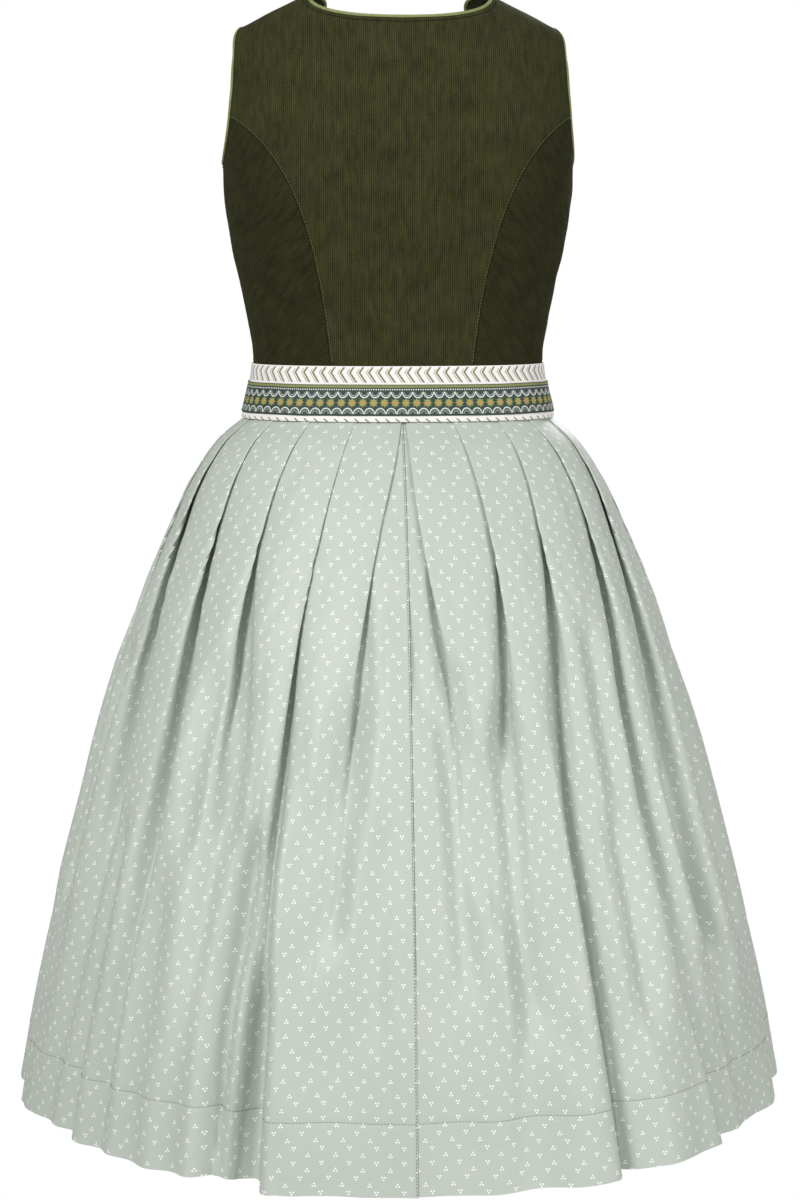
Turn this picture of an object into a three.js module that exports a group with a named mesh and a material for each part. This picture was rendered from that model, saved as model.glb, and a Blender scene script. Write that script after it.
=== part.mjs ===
// A sleeveless pleated dirndl dress, filled out as if worn. Millimetres, +Z up.
// The front faces -Y and the wearer's left is +X. The origin lies between the two shoulders, at the
// height where the shoulder seams meet the neckline, because that is where the wearer holds it up.
//
// Two surfaces carry every piece. The figure runs from the shoulders to the lower edge of the
// waistband, and the skirt outline from there to the hem. A place on the figure is an angle and a
// height: the angle is 0 at the centre back, a quarter turn at the left side and shoulder seam, and
// half a turn at the centre front.

import * as THREE from 'three';

// ---- Driving dimensions ----
const CORDUROY = 1.6;             // thickness of the bodice cloth
const BAND_CLOTH = 1.5;           // thickness of the waistband
const RIBBON_CLOTH = 1.0;         // thickness of the woven ribbon
const SKIRT_CLOTH = 1.2;          // thickness of the skirt cloth, measured level
const GAP = 0.3;                  // clearance between pieces that are sewn together

const NECK_POINT_X = 83;          // from the centre to where the shoulder seam meets the neckline
const SHOULDER_TIP_X = 149.5;     // from the centre to the outer end of the shoulder seam
const SHOULDER_DROP = 34;         // fall of the shoulder seam from neckline to tip
const BACK_NECK_DROP = 28;        // depth of the neckline at the centre back
const FRONT_NECK_DROP = 130;      // depth of the neckline at the centre front
const FRONT_NECK_TURN = 0.39;     // angle at which the front neckline turns from its floor to its side
const FRONT_NECK_SHARPNESS = 4;   // how sharply it turns there
const FRONT_NECK_CROWDING = 1.6;  // how much closer its places stand near the centre front
const BACK_NECK_FLATNESS = 2;     // how level the back neckline stays before it rises
const ARMHOLE_TOP = -SHOULDER_DROP;
const ARMHOLE_BOTTOM = -160;
const ARMHOLE_BACK = 50;          // how far the armhole reaches behind the side seam
const ARMHOLE_FRONT = 58;         // how far it reaches in front of it
const WAIST_Z = -349;             // lower edge of the bodice, upper edge of the band
const BAND_BOTTOM_Z = -401;
const HEM_Z = -1047;

const BUST_RISE = 11;             // how far each cup stands out of the figure's plain front
const BUST_CENTRE = { x: 82, z: -188 };
const BUST_REACH = { x: 48, z: 54 };

const LAP = 9;                    // the right front passes the centre by this much, over the left
const LAP_LIFT = 1.3;             // the right front rises by this and the left sinks by it
const LAP_BLEND = 34;             // over this distance from the centre

const PIPING_WIDTH = 3.2;
const PIPING_THICK = 2.4;
const PIPING_ROOM = 3.4;          // cloth edges stop this far from the middle of the piping
const SEAM_ROOM = 0.26;           // cloth edges stop this far from the line of a seam

const WAIST_STRETCHES = 48;       // flat stretches in one turn of the waistband
const RIBBON_TOP_Z = -366;
const RIBBON_BOTTOM_Z = -395;

const BUTTONS = 7;
const BUTTON_RADIUS = 5.5;
const BUTTON_THICK = 3.2;
const BUTTON_SIDES = 12;
const BUTTON_RAISE = 1.5;         // clearance under each button, where the cloth is hollow
const BUTTON_FIRST_Z = -146;
const BUTTON_LAST_Z = -330;

// The figure's level sections: half width, depth behind and in front of the side seam, and how
// square the section is (2 is an ellipse).
const FIGURE = [
  { z: 0, half: 83, back: 56, front: 52, square: 2.2 },
  { z: -34, half: 149.5, back: 80, front: 76, square: 2.4 },
  { z: -65, half: 165, back: 96, front: 92, square: 2.5 },
  { z: -100, half: 169.5, back: 105, front: 106, square: 2.5 },
  { z: -130, half: 169, back: 109, front: 116, square: 2.45 },
  { z: -160, half: 167, back: 110, front: 123, square: 2.4 },
  { z: -190, half: 166, back: 108, front: 126, square: 2.4 },
  { z: -230, half: 160.5, back: 102, front: 120, square: 2.35 },
  { z: -270, half: 152, back: 95, front: 110, square: 2.3 },
  { z: -310, half: 144, back: 89, front: 101, square: 2.3 },
  { z: -349, half: 139.5, back: 86, front: 96, square: 2.3 },
  { z: -401, half: 150, back: 92, front: 103, square: 2.25 },
];

// The skirt's level outlines, with the same columns. The pleats stand about these.
const SKIRT = [
  { z: -401, half: 147, back: 89, front: 100, square: 2.25 },
  { z: -423, half: 172, back: 114, front: 122, square: 2.2 },
  { z: -461, half: 196, back: 144, front: 149, square: 2.15 },
  { z: -500, half: 213, back: 167, front: 170, square: 2.1 },
  { z: -577, half: 244, back: 203, front: 203, square: 2.1 },
  { z: -654, half: 268, back: 231, front: 229, square: 2.05 },
  { z: -731, half: 291, back: 257, front: 253, square: 2.05 },
  { z: -847, half: 323, back: 293, front: 286, square: 2.05 },
  { z: -963, half: 350, back: 323, front: 314, square: 2.05 },
  { z: -1047, half: 366, back: 340, front: 330, square: 2.05 },
];

// One row for each pleat of half the skirt, from the centre back to the centre front. The columns
// hold values at FOLD_LEVELS, which are shares of the way from the band down to the hem.
//   edge   place of the pleat's edge, as a share of the way round from centre back to centre front
//   floor  width of the hollow on the centre-back side of the edge, in mm
//   depth  how far the hollow lies behind the edge, in mm
const FOLD_LEVELS = [0, 0.15, 0.4, 0.7, 1];
const FOLDS_LEFT = [
  { edge: [0.004, 0.040, 0.064, 0.076, 0.080], floor: [0, 4, 12, 14, 14], depth: [6.4, 10, 11, 5, 3] },
  { edge: [0.114, 0.129, 0.141, 0.151, 0.163], floor: [0, 3, 8, 34, 56], depth: [6.4, 14, 24, 36, 46] },
  { edge: [0.222, 0.222, 0.217, 0.210, 0.214], floor: [0, 8, 26, 24, 22], depth: [6.4, 12, 20, 14, 10] },
  { edge: [0.322, 0.300, 0.290, 0.289, 0.290], floor: [0, 8, 17, 20, 22], depth: [6.4, 16, 26, 24, 20] },
  { edge: [0.415, 0.405, 0.380, 0.374, 0.372], floor: [0, 8, 24, 26, 28], depth: [6.4, 15, 24, 24, 22] },
  { edge: [0.530, 0.512, 0.492, 0.484, 0.480], floor: [0, 6, 20, 30, 34], depth: [6.4, 14, 24, 30, 34] },
  { edge: [0.640, 0.628, 0.610, 0.596, 0.590], floor: [0, 6, 18, 20, 18], depth: [6.4, 13, 20, 16, 12] },
  { edge: [0.750, 0.742, 0.726, 0.716, 0.706], floor: [0, 6, 20, 32, 44], depth: [6.4, 15, 26, 34, 40] },
  { edge: [0.862, 0.858, 0.850, 0.846, 0.842], floor: [0, 6, 14, 16, 16], depth: [6.4, 13, 16, 12, 8] },
];
const FOLDS_RIGHT = [
  { edge: [0.006, 0.018, 0.046, 0.040, 0.036], floor: [0, 3, 12, 12, 10], depth: [6.4, 12, 14, 6, 3] },
  { edge: [0.120, 0.123, 0.117, 0.110, 0.104], floor: [0, 5, 14, 16, 16], depth: [6.4, 14, 19, 9, 4] },
  { edge: [0.231, 0.205, 0.184, 0.178, 0.180], floor: [0, 8, 32, 26, 24], depth: [6.4, 14, 26, 36, 44] },
  { edge: [0.322, 0.306, 0.284, 0.276, 0.296], floor: [0, 8, 18, 20, 22], depth: [6.4, 16, 26, 30, 34] },
  { edge: [0.405, 0.370, 0.352, 0.345, 0.346], floor: [0, 8, 20, 22, 24], depth: [6.4, 15, 24, 25, 22] },
  { edge: [0.525, 0.500, 0.476, 0.462, 0.452], floor: [0, 6, 22, 28, 30], depth: [6.4, 14, 24, 26, 28] },
  { edge: [0.638, 0.630, 0.606, 0.590, 0.578], floor: [0, 6, 18, 30, 40], depth: [6.4, 14, 22, 30, 38] },
  { edge: [0.748, 0.744, 0.730, 0.722, 0.718], floor: [0, 6, 16, 18, 16], depth: [6.4, 13, 20, 14, 10] },
  { edge: [0.860, 0.856, 0.846, 0.836, 0.828], floor: [0, 6, 16, 24, 30], depth: [6.4, 13, 18, 20, 24] },
];
const CLOTH_PER_PLEAT = 135;      // length of cloth from one pleat's edge to the next
const PLEAT_GAP = 1.6;            // distance between the layers of a pressed pleat
const CREST = 0.35;               // share of an open fold's depth that stands outside the outline
const PRESSED_CREST = 0.5;        // the same share while the pleat is pressed flat
const PRESSED_RIM = 0.3;          // share of the depth at which a pressed pleat's rim lies inside
const UNDER_RIM = 0.5;            // where the rim lies, as a share of the part under a pressed edge
const UNDER_FLOOR = 0.85;         // where the floor under a pressed edge starts, as the same share
const WALL_LEAN = 4;              // how far an open hollow's walls lean
const WALL_LEAN_SHARE = 0.12;     // and by what share of its depth they lean further
const WALL_TURN = 0.3;            // share of an open wall that is its turn at either end
const SKIRT_ROWS = [0, 0.03, 0.08, 0.16, 0.27, 0.42, 0.6, 0.8, 1];

const COLOURS = {
  corduroy: 0x363621,
  piping: 0x7f8757,
  band: 0xf0eeec,
  ribbon: 0x3f4c45,
  skirt: 0xc3cdc1,
  button: 0x3a3024,
};

const { lerp, smoothstep } = THREE.MathUtils;
const QUARTER = Math.PI / 2;

// ---- Reading the tables ----

// A cubic through evenly or unevenly spaced values, with slopes from each value's neighbours.
function cubicThrough(positions, values, at) {
  const last = positions.length - 1;
  const place = THREE.MathUtils.clamp(at, positions[0], positions[last]);
  let i = 0;
  while (i < last - 1 && place > positions[i + 1]) i += 1;
  const slope = (j) => {
    const before = Math.max(j - 1, 0);
    const after = Math.min(j + 1, last);
    return (values[after] - values[before]) / (positions[after] - positions[before]);
  };
  const width = positions[i + 1] - positions[i];
  const t = (place - positions[i]) / width;
  const rise = values[i + 1] - values[i];
  const start = slope(i) * width;
  const end = slope(i + 1) * width;
  return values[i] + t * (start + t * (3 * rise - 2 * start - end + t * (start + end - 2 * rise)));
}

function readTable(table, column, z) {
  return cubicThrough(table.map((row) => -row.z), table.map((row) => row[column]), -z);
}

// The shoulder seam is straight, so the half width above its tip is a straight line too.
function figureSection(z) {
  const above = z > ARMHOLE_TOP;
  const half = above
    ? lerp(NECK_POINT_X, SHOULDER_TIP_X, -z / SHOULDER_DROP)
    : readTable(FIGURE, 'half', z);
  return {
    half,
    back: readTable(FIGURE, 'back', z),
    front: readTable(FIGURE, 'front', z),
    square: readTable(FIGURE, 'square', z),
  };
}

function skirtSection(z) {
  return {
    half: readTable(SKIRT, 'half', z),
    back: readTable(SKIRT, 'back', z),
    front: readTable(SKIRT, 'front', z),
    square: readTable(SKIRT, 'square', z),
  };
}

// ---- Places on the figure ----

function onSection(section, angle) {
  const power = 2 / section.square;
  const across = Math.sin(angle);
  const along = Math.cos(angle);
  const depth = along > 0 ? section.back : section.front;
  return {
    x: Math.sign(across) * section.half * Math.abs(across) ** power,
    y: Math.sign(along) * depth * Math.abs(along) ** power,
  };
}

function onFigure(angle, z) {
  const { x, y } = onSection(figureSection(z), angle);
  const acrossCup = (Math.abs(x) - BUST_CENTRE.x) / BUST_REACH.x;
  const upCup = (z - BUST_CENTRE.z) / BUST_REACH.z;
  const frontShare = smoothstep(-Math.cos(angle), 0, 0.6);
  const cup = BUST_RISE * frontShare * Math.exp(-(acrossCup ** 2) - upCup ** 2);
  return new THREE.Vector3(x, y - cup, z);
}

// Unit vector out of the figure, from small steps along it.
function figureNormal(angle, z) {
  const step = 0.01;
  const rise = 1.5;
  const round = onFigure(angle + step, z).sub(onFigure(angle - step, z));
  const up = onFigure(angle, z + rise).sub(onFigure(angle, z - rise));
  return up.cross(round).normalize();
}

function angleAtX(x, z, facing) {
  const section = figureSection(z);
  const sine = Math.min(1, Math.abs(x) / section.half) ** (section.square / 2);
  const fromMiddle = Math.asin(sine);
  return facing === 'back' ? fromMiddle : Math.PI - fromMiddle;
}

function angleAtDepth(depth, z, facing) {
  const section = figureSection(z);
  const cosine = Math.min(1, depth / section[facing]) ** (section.square / 2);
  return facing === 'back' ? Math.acos(cosine) : Math.PI - Math.acos(cosine);
}

// ---- Seam lines and edges of the left half, as places { angle, z } for a share 0 to 1 ----

// The shoulder tip is at 0, the back of the armhole at 0.25, the underarm at 0.5, the front at 0.75.
function armhole(share) {
  const turn = share * 2 * Math.PI;
  const middle = (ARMHOLE_TOP + ARMHOLE_BOTTOM) / 2;
  const z = middle + ((ARMHOLE_TOP - ARMHOLE_BOTTOM) / 2) * Math.cos(turn);
  const facing = Math.sin(turn) >= 0 ? 'back' : 'front';
  const reach = facing === 'back' ? ARMHOLE_BACK : ARMHOLE_FRONT;
  return { angle: angleAtDepth(reach * Math.abs(Math.sin(turn)), z, facing), z };
}

function bezier(points) {
  const [a, b, c, d] = points.map(([x, z]) => new THREE.Vector2(x, z));
  return new THREE.CubicBezierCurve(a, b, c, d);
}

// The curved seams run from the waist over shoulder blade or cup into the armhole. Their upper ends
// lie on the armhole at these shares of its turn.
const BACK_SEAM_END = 0.306;
const FRONT_SEAM_END = 0.716;
const BACK_SEAM = bezier([[67, WAIST_Z], [78, -240], [100, -156], [156, -119]]);
const FRONT_SEAM = bezier([[64, WAIST_Z], [78, -262], [90, -152], [152, -110]]);

function seam(curve, facing, endShare) {
  const end = armhole(endShare);
  const last = onFigure(end.angle, end.z);
  return (share) => {
    const flat = curve.getPoint(share);
    const z = flat.y + share ** 3 * (last.z - curve.v3.y);
    const x = flat.x + share ** 3 * (last.x - curve.v3.x);
    return { angle: angleAtX(x, z, facing), z };
  };
}

const backSeam = seam(BACK_SEAM, 'back', BACK_SEAM_END);
const frontSeam = seam(FRONT_SEAM, 'front', FRONT_SEAM_END);

function backNeckline(share) {
  const angle = share * QUARTER;
  return { angle, z: -BACK_NECK_DROP * Math.cos(angle) ** BACK_NECK_FLATNESS };
}

// From the centre front (0) round to the neck point (1).
function frontNeckline(share) {
  const fromFront = share ** FRONT_NECK_CROWDING * QUARTER;
  const fall = Math.cos(fromFront) / (1 + (fromFront / FRONT_NECK_TURN) ** FRONT_NECK_SHARPNESS);
  return { angle: Math.PI - fromFront, z: -FRONT_NECK_DROP * fall };
}

const straight = (from, to) => (share) => ({
  angle: lerp(from.angle, to.angle, share),
  z: lerp(from.z, to.z, share),
});

const partOf = (line, from, to) => (share) => line(lerp(from, to, share));

// The same line, with equal shares for equal lengths on the figure.
function byLength(line) {
  const steps = 60;
  const lengths = [0];
  let before = null;
  for (let i = 0; i <= steps; i += 1) {
    const { angle, z } = line(i / steps);
    const here = onFigure(angle, z);
    if (before) lengths.push(lengths[i - 1] + here.distanceTo(before));
    before = here;
  }
  return (share) => {
    const wanted = share * lengths[steps];
    let i = 0;
    while (i < steps - 1 && lengths[i + 1] < wanted) i += 1;
    const inStep = (wanted - lengths[i]) / (lengths[i + 1] - lengths[i]);
    return line((i + inStep) / steps);
  };
}

// Lines joined end to end; breaks are the shares at which one ends and the next starts.
function chain(lines, breaks) {
  const ends = [0, ...breaks, 1];
  const even = lines.map(byLength);
  return (share) => {
    let i = 0;
    while (i < lines.length - 1 && share > ends[i + 1]) i += 1;
    return even[i]((share - ends[i]) / (ends[i + 1] - ends[i]));
  };
}

// A four-sided patch between its edges, blended so that it follows all four.
function patch({ bottom, top, inner, outer }) {
  const mix = (s, r, key) => {
    const corners = [bottom(0)[key], bottom(1)[key], top(0)[key], top(1)[key]];
    const across = lerp(inner(r)[key], outer(r)[key], s);
    const upward = lerp(bottom(s)[key], top(s)[key], r);
    return across + upward - lerp(lerp(corners[0], corners[1], s), lerp(corners[2], corners[3], s), r);
  };
  return (s, r) => ({ angle: mix(s, r, 'angle'), z: mix(s, r, 'z') });
}

// ---- Solids ----

// A closed solid between two grids of points with the same rows and columns.
function slab(outerGrid, innerGrid) {
  const rows = outerGrid.length;
  const columns = outerGrid[0].length;
  const points = [...outerGrid.flat(), ...innerGrid.flat()];
  const outer = (r, c) => r * columns + c;
  const inner = (r, c) => rows * columns + r * columns + c;
  const faces = [];
  const quad = (a, b, c, d) => faces.push(a, b, c, a, c, d);
  for (let r = 0; r < rows - 1; r += 1) {
    for (let c = 0; c < columns - 1; c += 1) {
      quad(outer(r, c), outer(r, c + 1), outer(r + 1, c + 1), outer(r + 1, c));
      quad(inner(r, c), inner(r + 1, c), inner(r + 1, c + 1), inner(r, c + 1));
    }
    quad(outer(r, 0), outer(r + 1, 0), inner(r + 1, 0), inner(r, 0));
    quad(outer(r + 1, columns - 1), outer(r, columns - 1), inner(r, columns - 1), inner(r + 1, columns - 1));
  }
  for (let c = 0; c < columns - 1; c += 1) {
    quad(outer(0, c + 1), outer(0, c), inner(0, c), inner(0, c + 1));
    quad(outer(rows - 1, c), outer(rows - 1, c + 1), inner(rows - 1, c + 1), inner(rows - 1, c));
  }
  return facingOut(points, faces);
}

// A closed rod through rings of points, with flat ends unless the rings run round in a loop.
function rod(rings, looped) {
  const sides = rings[0].length;
  const points = rings.flat();
  const faces = [];
  const stretches = looped ? rings.length : rings.length - 1;
  for (let i = 0; i < stretches; i += 1) {
    const next = (i + 1) % rings.length;
    for (let k = 0; k < sides; k += 1) {
      const k1 = (k + 1) % sides;
      const [a, b, c, d] = [i * sides + k, i * sides + k1, next * sides + k1, next * sides + k];
      faces.push(a, b, c, a, c, d);
    }
  }
  for (let k = 1; k < sides - 1 && !looped; k += 1) {
    const end = (rings.length - 1) * sides;
    faces.push(0, k + 1, k, end, end + k, end + k + 1);
  }
  return facingOut(points, faces);
}

// The mesh, turned inside out where its faces point in.
function facingOut(points, faces) {
  let volume = 0;
  for (let i = 0; i < faces.length; i += 3) {
    const [a, b, c] = [points[faces[i]], points[faces[i + 1]], points[faces[i + 2]]];
    volume += a.dot(b.clone().cross(c));
  }
  const geometry = new THREE.BufferGeometry().setFromPoints(points);
  geometry.setIndex(volume > 0 ? faces : faces.reverse());
  geometry.computeVertexNormals();
  return geometry;
}

const acrossCentre = (point) => new THREE.Vector3(-point.x, point.y, point.z);

const dress = new THREE.Group();

function add(name, geometry, colour, roughness = 0.9) {
  const material = new THREE.MeshStandardMaterial({ color: colour, roughness, metalness: 0 });
  const mesh = new THREE.Mesh(geometry, material);
  mesh.name = name;
  dress.add(mesh);
  return mesh;
}

// ---- Bodice ----

// Both panels at a curved seam have corners at these shares of its length.
const SEAM_ROWS = [0, 0.15, 0.3, 0.45, 0.58, 0.69, 0.8, 0.9, 1];

const evenShares = (count) => Array.from({ length: count + 1 }, (_, i) => i / count);

// Evenly spaced places on a line, with the way out of the figure and the way off the opening's edge
// onto the cloth. The cloth is on the left of the line where hand is 1 and on its right where it is -1.
function along(line, count, hand) {
  const even = byLength(line);
  return evenShares(count).map((share) => {
    const { angle, z } = even(share);
    const before = even(Math.max(share - 0.01, 0));
    const after = even(Math.min(share + 0.01, 1));
    const forward = onFigure(after.angle, after.z).sub(onFigure(before.angle, before.z));
    const normal = figureNormal(angle, z);
    const ontoCloth = normal.clone().cross(forward).multiplyScalar(hand).normalize();
    return { point: onFigure(angle, z), normal, ontoCloth };
  });
}

const armholeLine = along(armhole, 32, 1);
const frontNeckLine = along(frontNeckline, 18, -1);
const backNeckLine = along(backNeckline, 10, 1);

// The point, moved back onto the cloth until it is PIPING_ROOM from the middle of every piping.
function clearOfPiping(point) {
  const moved = point.clone();
  const stretch = new THREE.Line3();
  const nearest = new THREE.Vector3();
  for (const line of [armholeLine, frontNeckLine, backNeckLine]) {
    let closest = 4 * PIPING_ROOM;
    let shift = null;
    for (let i = 1; i < line.length; i += 1) {
      stretch.set(line[i - 1].point, line[i].point).closestPointToPoint(moved, true, nearest);
      const distance = nearest.distanceTo(moved);
      if (distance < closest) {
        const side = line[i - 1].ontoCloth.clone().lerp(line[i].ontoCloth, 0.5).normalize();
        closest = distance;
        shift = side.multiplyScalar(Math.max(0, PIPING_ROOM - side.dot(moved.clone().sub(nearest))));
      }
    }
    if (shift) moved.add(shift);
  }
  return moved;
}

// Grids for a panel. room gives, for each edge, how far the cloth stops short of the seam line, and
// lift moves a point out of the figure.
function panelGrids(shape, rows, columns, room, lift = () => 0) {
  const at = (s, r) => {
    const { angle, z } = shape(s, r);
    return onFigure(angle, z);
  };
  const outer = [];
  const inner = [];
  for (const r of rows) {
    const width = at(0, r).distanceTo(at(1, r));
    const outerLine = [];
    const innerLine = [];
    for (const s of columns) {
      const height = at(s, 0).distanceTo(at(s, 0.5)) + at(s, 0.5).distanceTo(at(s, 1));
      const share = lerp(room.inner / width, 1 - room.outer / width, s);
      const rise = lerp(room.bottom / height, 1 - room.top / height, r);
      const { angle, z } = shape(share, rise);
      const point = clearOfPiping(onFigure(angle, z));
      const normal = figureNormal(angle, z);
      point.addScaledVector(normal, lift(point));
      outerLine.push(point);
      innerLine.push(point.clone().addScaledVector(normal, -CORDUROY));
    }
    outer.push(outerLine);
    inner.push(innerLine);
  }
  return { outer, inner };
}

const mirrorGrid = (grid) => grid.map((line) => line.map(acrossCentre));

// The centre back panel is one piece, so its left half is mirrored and joined to it.
function backPanel() {
  const seamShare = 0.6;
  const armholeShare = 0.82;
  const neckPoint = { angle: QUARTER, z: 0 };
  const tip = armhole(0);
  const shape = patch({
    bottom: byLength(straight({ angle: 0, z: WAIST_Z }, backSeam(0))),
    top: byLength(backNeckline),
    inner: straight({ angle: 0, z: WAIST_Z }, backNeckline(0)),
    outer: chain(
      [backSeam, partOf(armhole, BACK_SEAM_END, 0), straight(tip, neckPoint)],
      [seamShare, armholeShare],
    ),
  });
  const rows = [
    ...SEAM_ROWS.map((share) => share * seamShare),
    0.635, 0.67, 0.705, 0.745, 0.785, armholeShare, 0.88, 0.94, 1,
  ];
  const room = { bottom: GAP, top: 0, inner: 0, outer: SEAM_ROOM };
  const columns = [0, 0.2, 0.38, 0.52, 0.64, 0.8, 1];
  const { outer, inner } = panelGrids(shape, rows, columns, room);
  const whole = (grid) => grid.map((line) => [...line.slice(1).reverse().map(acrossCentre), ...line]);
  add('bodice_back', slab(whole(outer), whole(inner)), COLOURS.corduroy);
}

function sidePanels(facing) {
  const line = facing === 'back' ? backSeam : frontSeam;
  const endShare = facing === 'back' ? BACK_SEAM_END : FRONT_SEAM_END;
  const sideTop = { angle: QUARTER, z: ARMHOLE_BOTTOM };
  const sideBottom = { angle: QUARTER, z: WAIST_Z };
  const shape = patch({
    bottom: byLength(straight(line(0), sideBottom)),
    top: byLength(partOf(armhole, endShare, 0.5)),
    inner: byLength(line),
    outer: straight(sideBottom, sideTop),
  });
  const room = { bottom: GAP, top: 0, inner: SEAM_ROOM, outer: SEAM_ROOM };
  const { outer, inner } = panelGrids(shape, SEAM_ROWS, evenShares(5), room);
  add(`bodice_side_${facing}_left`, slab(outer, inner), COLOURS.corduroy);
  add(`bodice_side_${facing}_right`, slab(mirrorGrid(outer), mirrorGrid(inner)), COLOURS.corduroy);
}

// How far a point of either front moves out of the figure: all of the lift at the centre, and less
// of it further out. Only the fronts lap, so nothing behind them or up at the shoulders moves.
function lapShift(point, lift) {
  return lift * smoothstep(LAP_BLEND - Math.abs(point.x), 0, LAP_BLEND - 2 * LAP);
}

// Each front runs past the centre by LAP, so its inner edge is a line beyond half a turn.
function frontPanel(side) {
  const neckShare = 0.6;
  const seamShare = 0.75;
  const pastCentre = (place) => {
    const turned = Math.PI + (Math.PI - angleAtX(LAP, place.z, 'front'));
    return { angle: turned, z: place.z };
  };
  const lapEdge = straight(
    pastCentre({ z: WAIST_Z }),
    pastCentre({ z: -FRONT_NECK_DROP }),
  );
  const neckline = chain(
    [straight(pastCentre({ z: -FRONT_NECK_DROP }), frontNeckline(0)), frontNeckline],
    [0.06],
  );
  const shape = patch({
    bottom: byLength(straight(lapEdge(0), frontSeam(0))),
    top: byLength(straight({ angle: QUARTER, z: 0 }, armhole(0))),
    inner: chain([lapEdge, neckline], [neckShare]),
    outer: chain([frontSeam, partOf(armhole, FRONT_SEAM_END, 1)], [seamShare]),
  });
  const rows = [
    ...SEAM_ROWS.map((share) => share * seamShare),
    0.624, 0.65, 0.7, 0.725, 0.78, 0.81, 0.84, 0.87, 0.9, 0.93, 0.965, 1,
  ].sort((a, b) => a - b);
  const lift = (point) => lapShift(point, side === 'right' ? LAP_LIFT : -LAP_LIFT);
  const room = { bottom: GAP, top: SEAM_ROOM, inner: 0, outer: SEAM_ROOM };
  const { outer, inner } = panelGrids(shape, rows, evenShares(7), room, lift);
  const mine = side === 'left' ? [outer, inner] : [mirrorGrid(outer), mirrorGrid(inner)];
  add(`bodice_front_${side}`, slab(...mine), COLOURS.corduroy);
}

// ---- Piping: a rounded strip along the neckline and each armhole ----

// Rings round a line of { point, normal }: a flattened hexagon lying along the cloth.
function pipingRings(line, looped) {
  const corners = [[1, 0], [0.5, 1], [-0.5, 1], [-1, 0], [-0.5, -1], [0.5, -1]];
  return line.map(({ point, normal }, i) => {
    const last = line.length - 1;
    const before = looped ? (i + last) % line.length : Math.max(i - 1, 0);
    const after = looped ? (i + 1) % line.length : Math.min(i + 1, last);
    const along = line[after].point.clone().sub(line[before].point).normalize();
    const across = along.cross(normal).normalize();
    return corners.map(([side, up]) => point
      .clone()
      .addScaledVector(across, (side * PIPING_WIDTH) / 2)
      .addScaledVector(normal, (up * PIPING_THICK) / 2 - CORDUROY / 2));
  });
}

const mirrorLine = (line) => line.map(({ point, normal }) => ({
  point: acrossCentre(point),
  normal: acrossCentre(normal),
}));

function armholePiping() {
  const line = armholeLine.slice(0, -1);
  add('piping_armhole_left', rod(pipingRings(line, true), true), COLOURS.piping, 0.6);
  add('piping_armhole_right', rod(pipingRings(mirrorLine(line), true), true), COLOURS.piping, 0.6);
}

// The neck piping starts on the left front beside the lapping edge, goes round the neck and ends on
// that edge, which is raised.
function neckPiping() {
  const [middle] = frontNeckLine;
  const left = frontNeckLine.filter(({ point }) => point.x > LAP + PIPING_WIDTH);
  const right = mirrorLine(frontNeckLine).reverse();
  const back = [...[...backNeckLine].reverse(), ...mirrorLine(backNeckLine).slice(1)];
  const overlap = { ...middle, point: middle.point.clone().setX(LAP) };
  const start = { ...middle, point: middle.point.clone().setX(LAP + GAP) };
  const lifted = (line, lift) => line.map(({ point, normal }) => ({
    point: point.clone().addScaledVector(normal, lapShift(point, lift)),
    normal,
  }));
  const line = [
    ...lifted([start, ...left], -LAP_LIFT),
    ...back.slice(1, -1),
    ...lifted([...right, overlap], LAP_LIFT),
  ];
  add('piping_neck', rod(pipingRings(line, false), false), COLOURS.piping, 0.6);
}

// ---- Waistband and ribbon ----

// A strip round the figure, open at the lapping edge. It stands off the figure by lift.
function waistStrip(heights, thick, lift) {
  const join = angleAtX(LAP, WAIST_Z, 'front');
  const opening = GAP / (2 * SHOULDER_TIP_X);
  const grid = (out) => heights.map((z) => evenShares(WAIST_STRETCHES).map((s) => {
    const turned = lerp(join - opening, join - 2 * Math.PI + opening, s);
    const level = figureNormal(turned, z).setZ(0).normalize();
    return onFigure(turned, z).addScaledVector(level, out);
  }));
  return slab(grid(lift + thick), grid(lift));
}

function waistband() {
  const heights = [BAND_BOTTOM_Z + GAP, RIBBON_BOTTOM_Z, RIBBON_TOP_Z, WAIST_Z];
  add('waistband', waistStrip(heights, BAND_CLOTH, 0), COLOURS.band, 0.8);
  const ribbonHeights = heights.slice(1, 3);
  add('ribbon', waistStrip(ribbonHeights, RIBBON_CLOTH, BAND_CLOTH + GAP), COLOURS.ribbon, 0.7);
}

// ---- Skirt ----

// Half of a level outline from centre back to centre front, as a reader of { x, y, normal } at a
// distance round it, and its whole length.
function halfOutline(z) {
  const steps = 240;
  const section = skirtSection(z);
  const places = evenShares(steps).map((share) => onSection(section, share * Math.PI));
  const lengths = [0];
  for (let i = 1; i <= steps; i += 1) {
    const step = Math.hypot(places[i].x - places[i - 1].x, places[i].y - places[i - 1].y);
    lengths.push(lengths[i - 1] + step);
  }
  const at = (distance) => {
    const wanted = THREE.MathUtils.clamp(distance, 0, lengths[steps]);
    let i = 0;
    while (i < steps - 1 && lengths[i + 1] < wanted) i += 1;
    const share = (wanted - lengths[i]) / (lengths[i + 1] - lengths[i]);
    const before = places[Math.max(i - 1, 0)];
    const after = places[Math.min(i + 2, steps)];
    const run = Math.hypot(after.x - before.x, after.y - before.y);
    return {
      x: lerp(places[i].x, places[i + 1].x, share),
      y: lerp(places[i].y, places[i + 1].y, share),
      normal: new THREE.Vector2(-(after.y - before.y) / run, (after.x - before.x) / run),
    };
  };
  return { at, length: lengths[steps] };
}

const waistLength = halfOutline(BAND_BOTTOM_Z).length;

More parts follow.
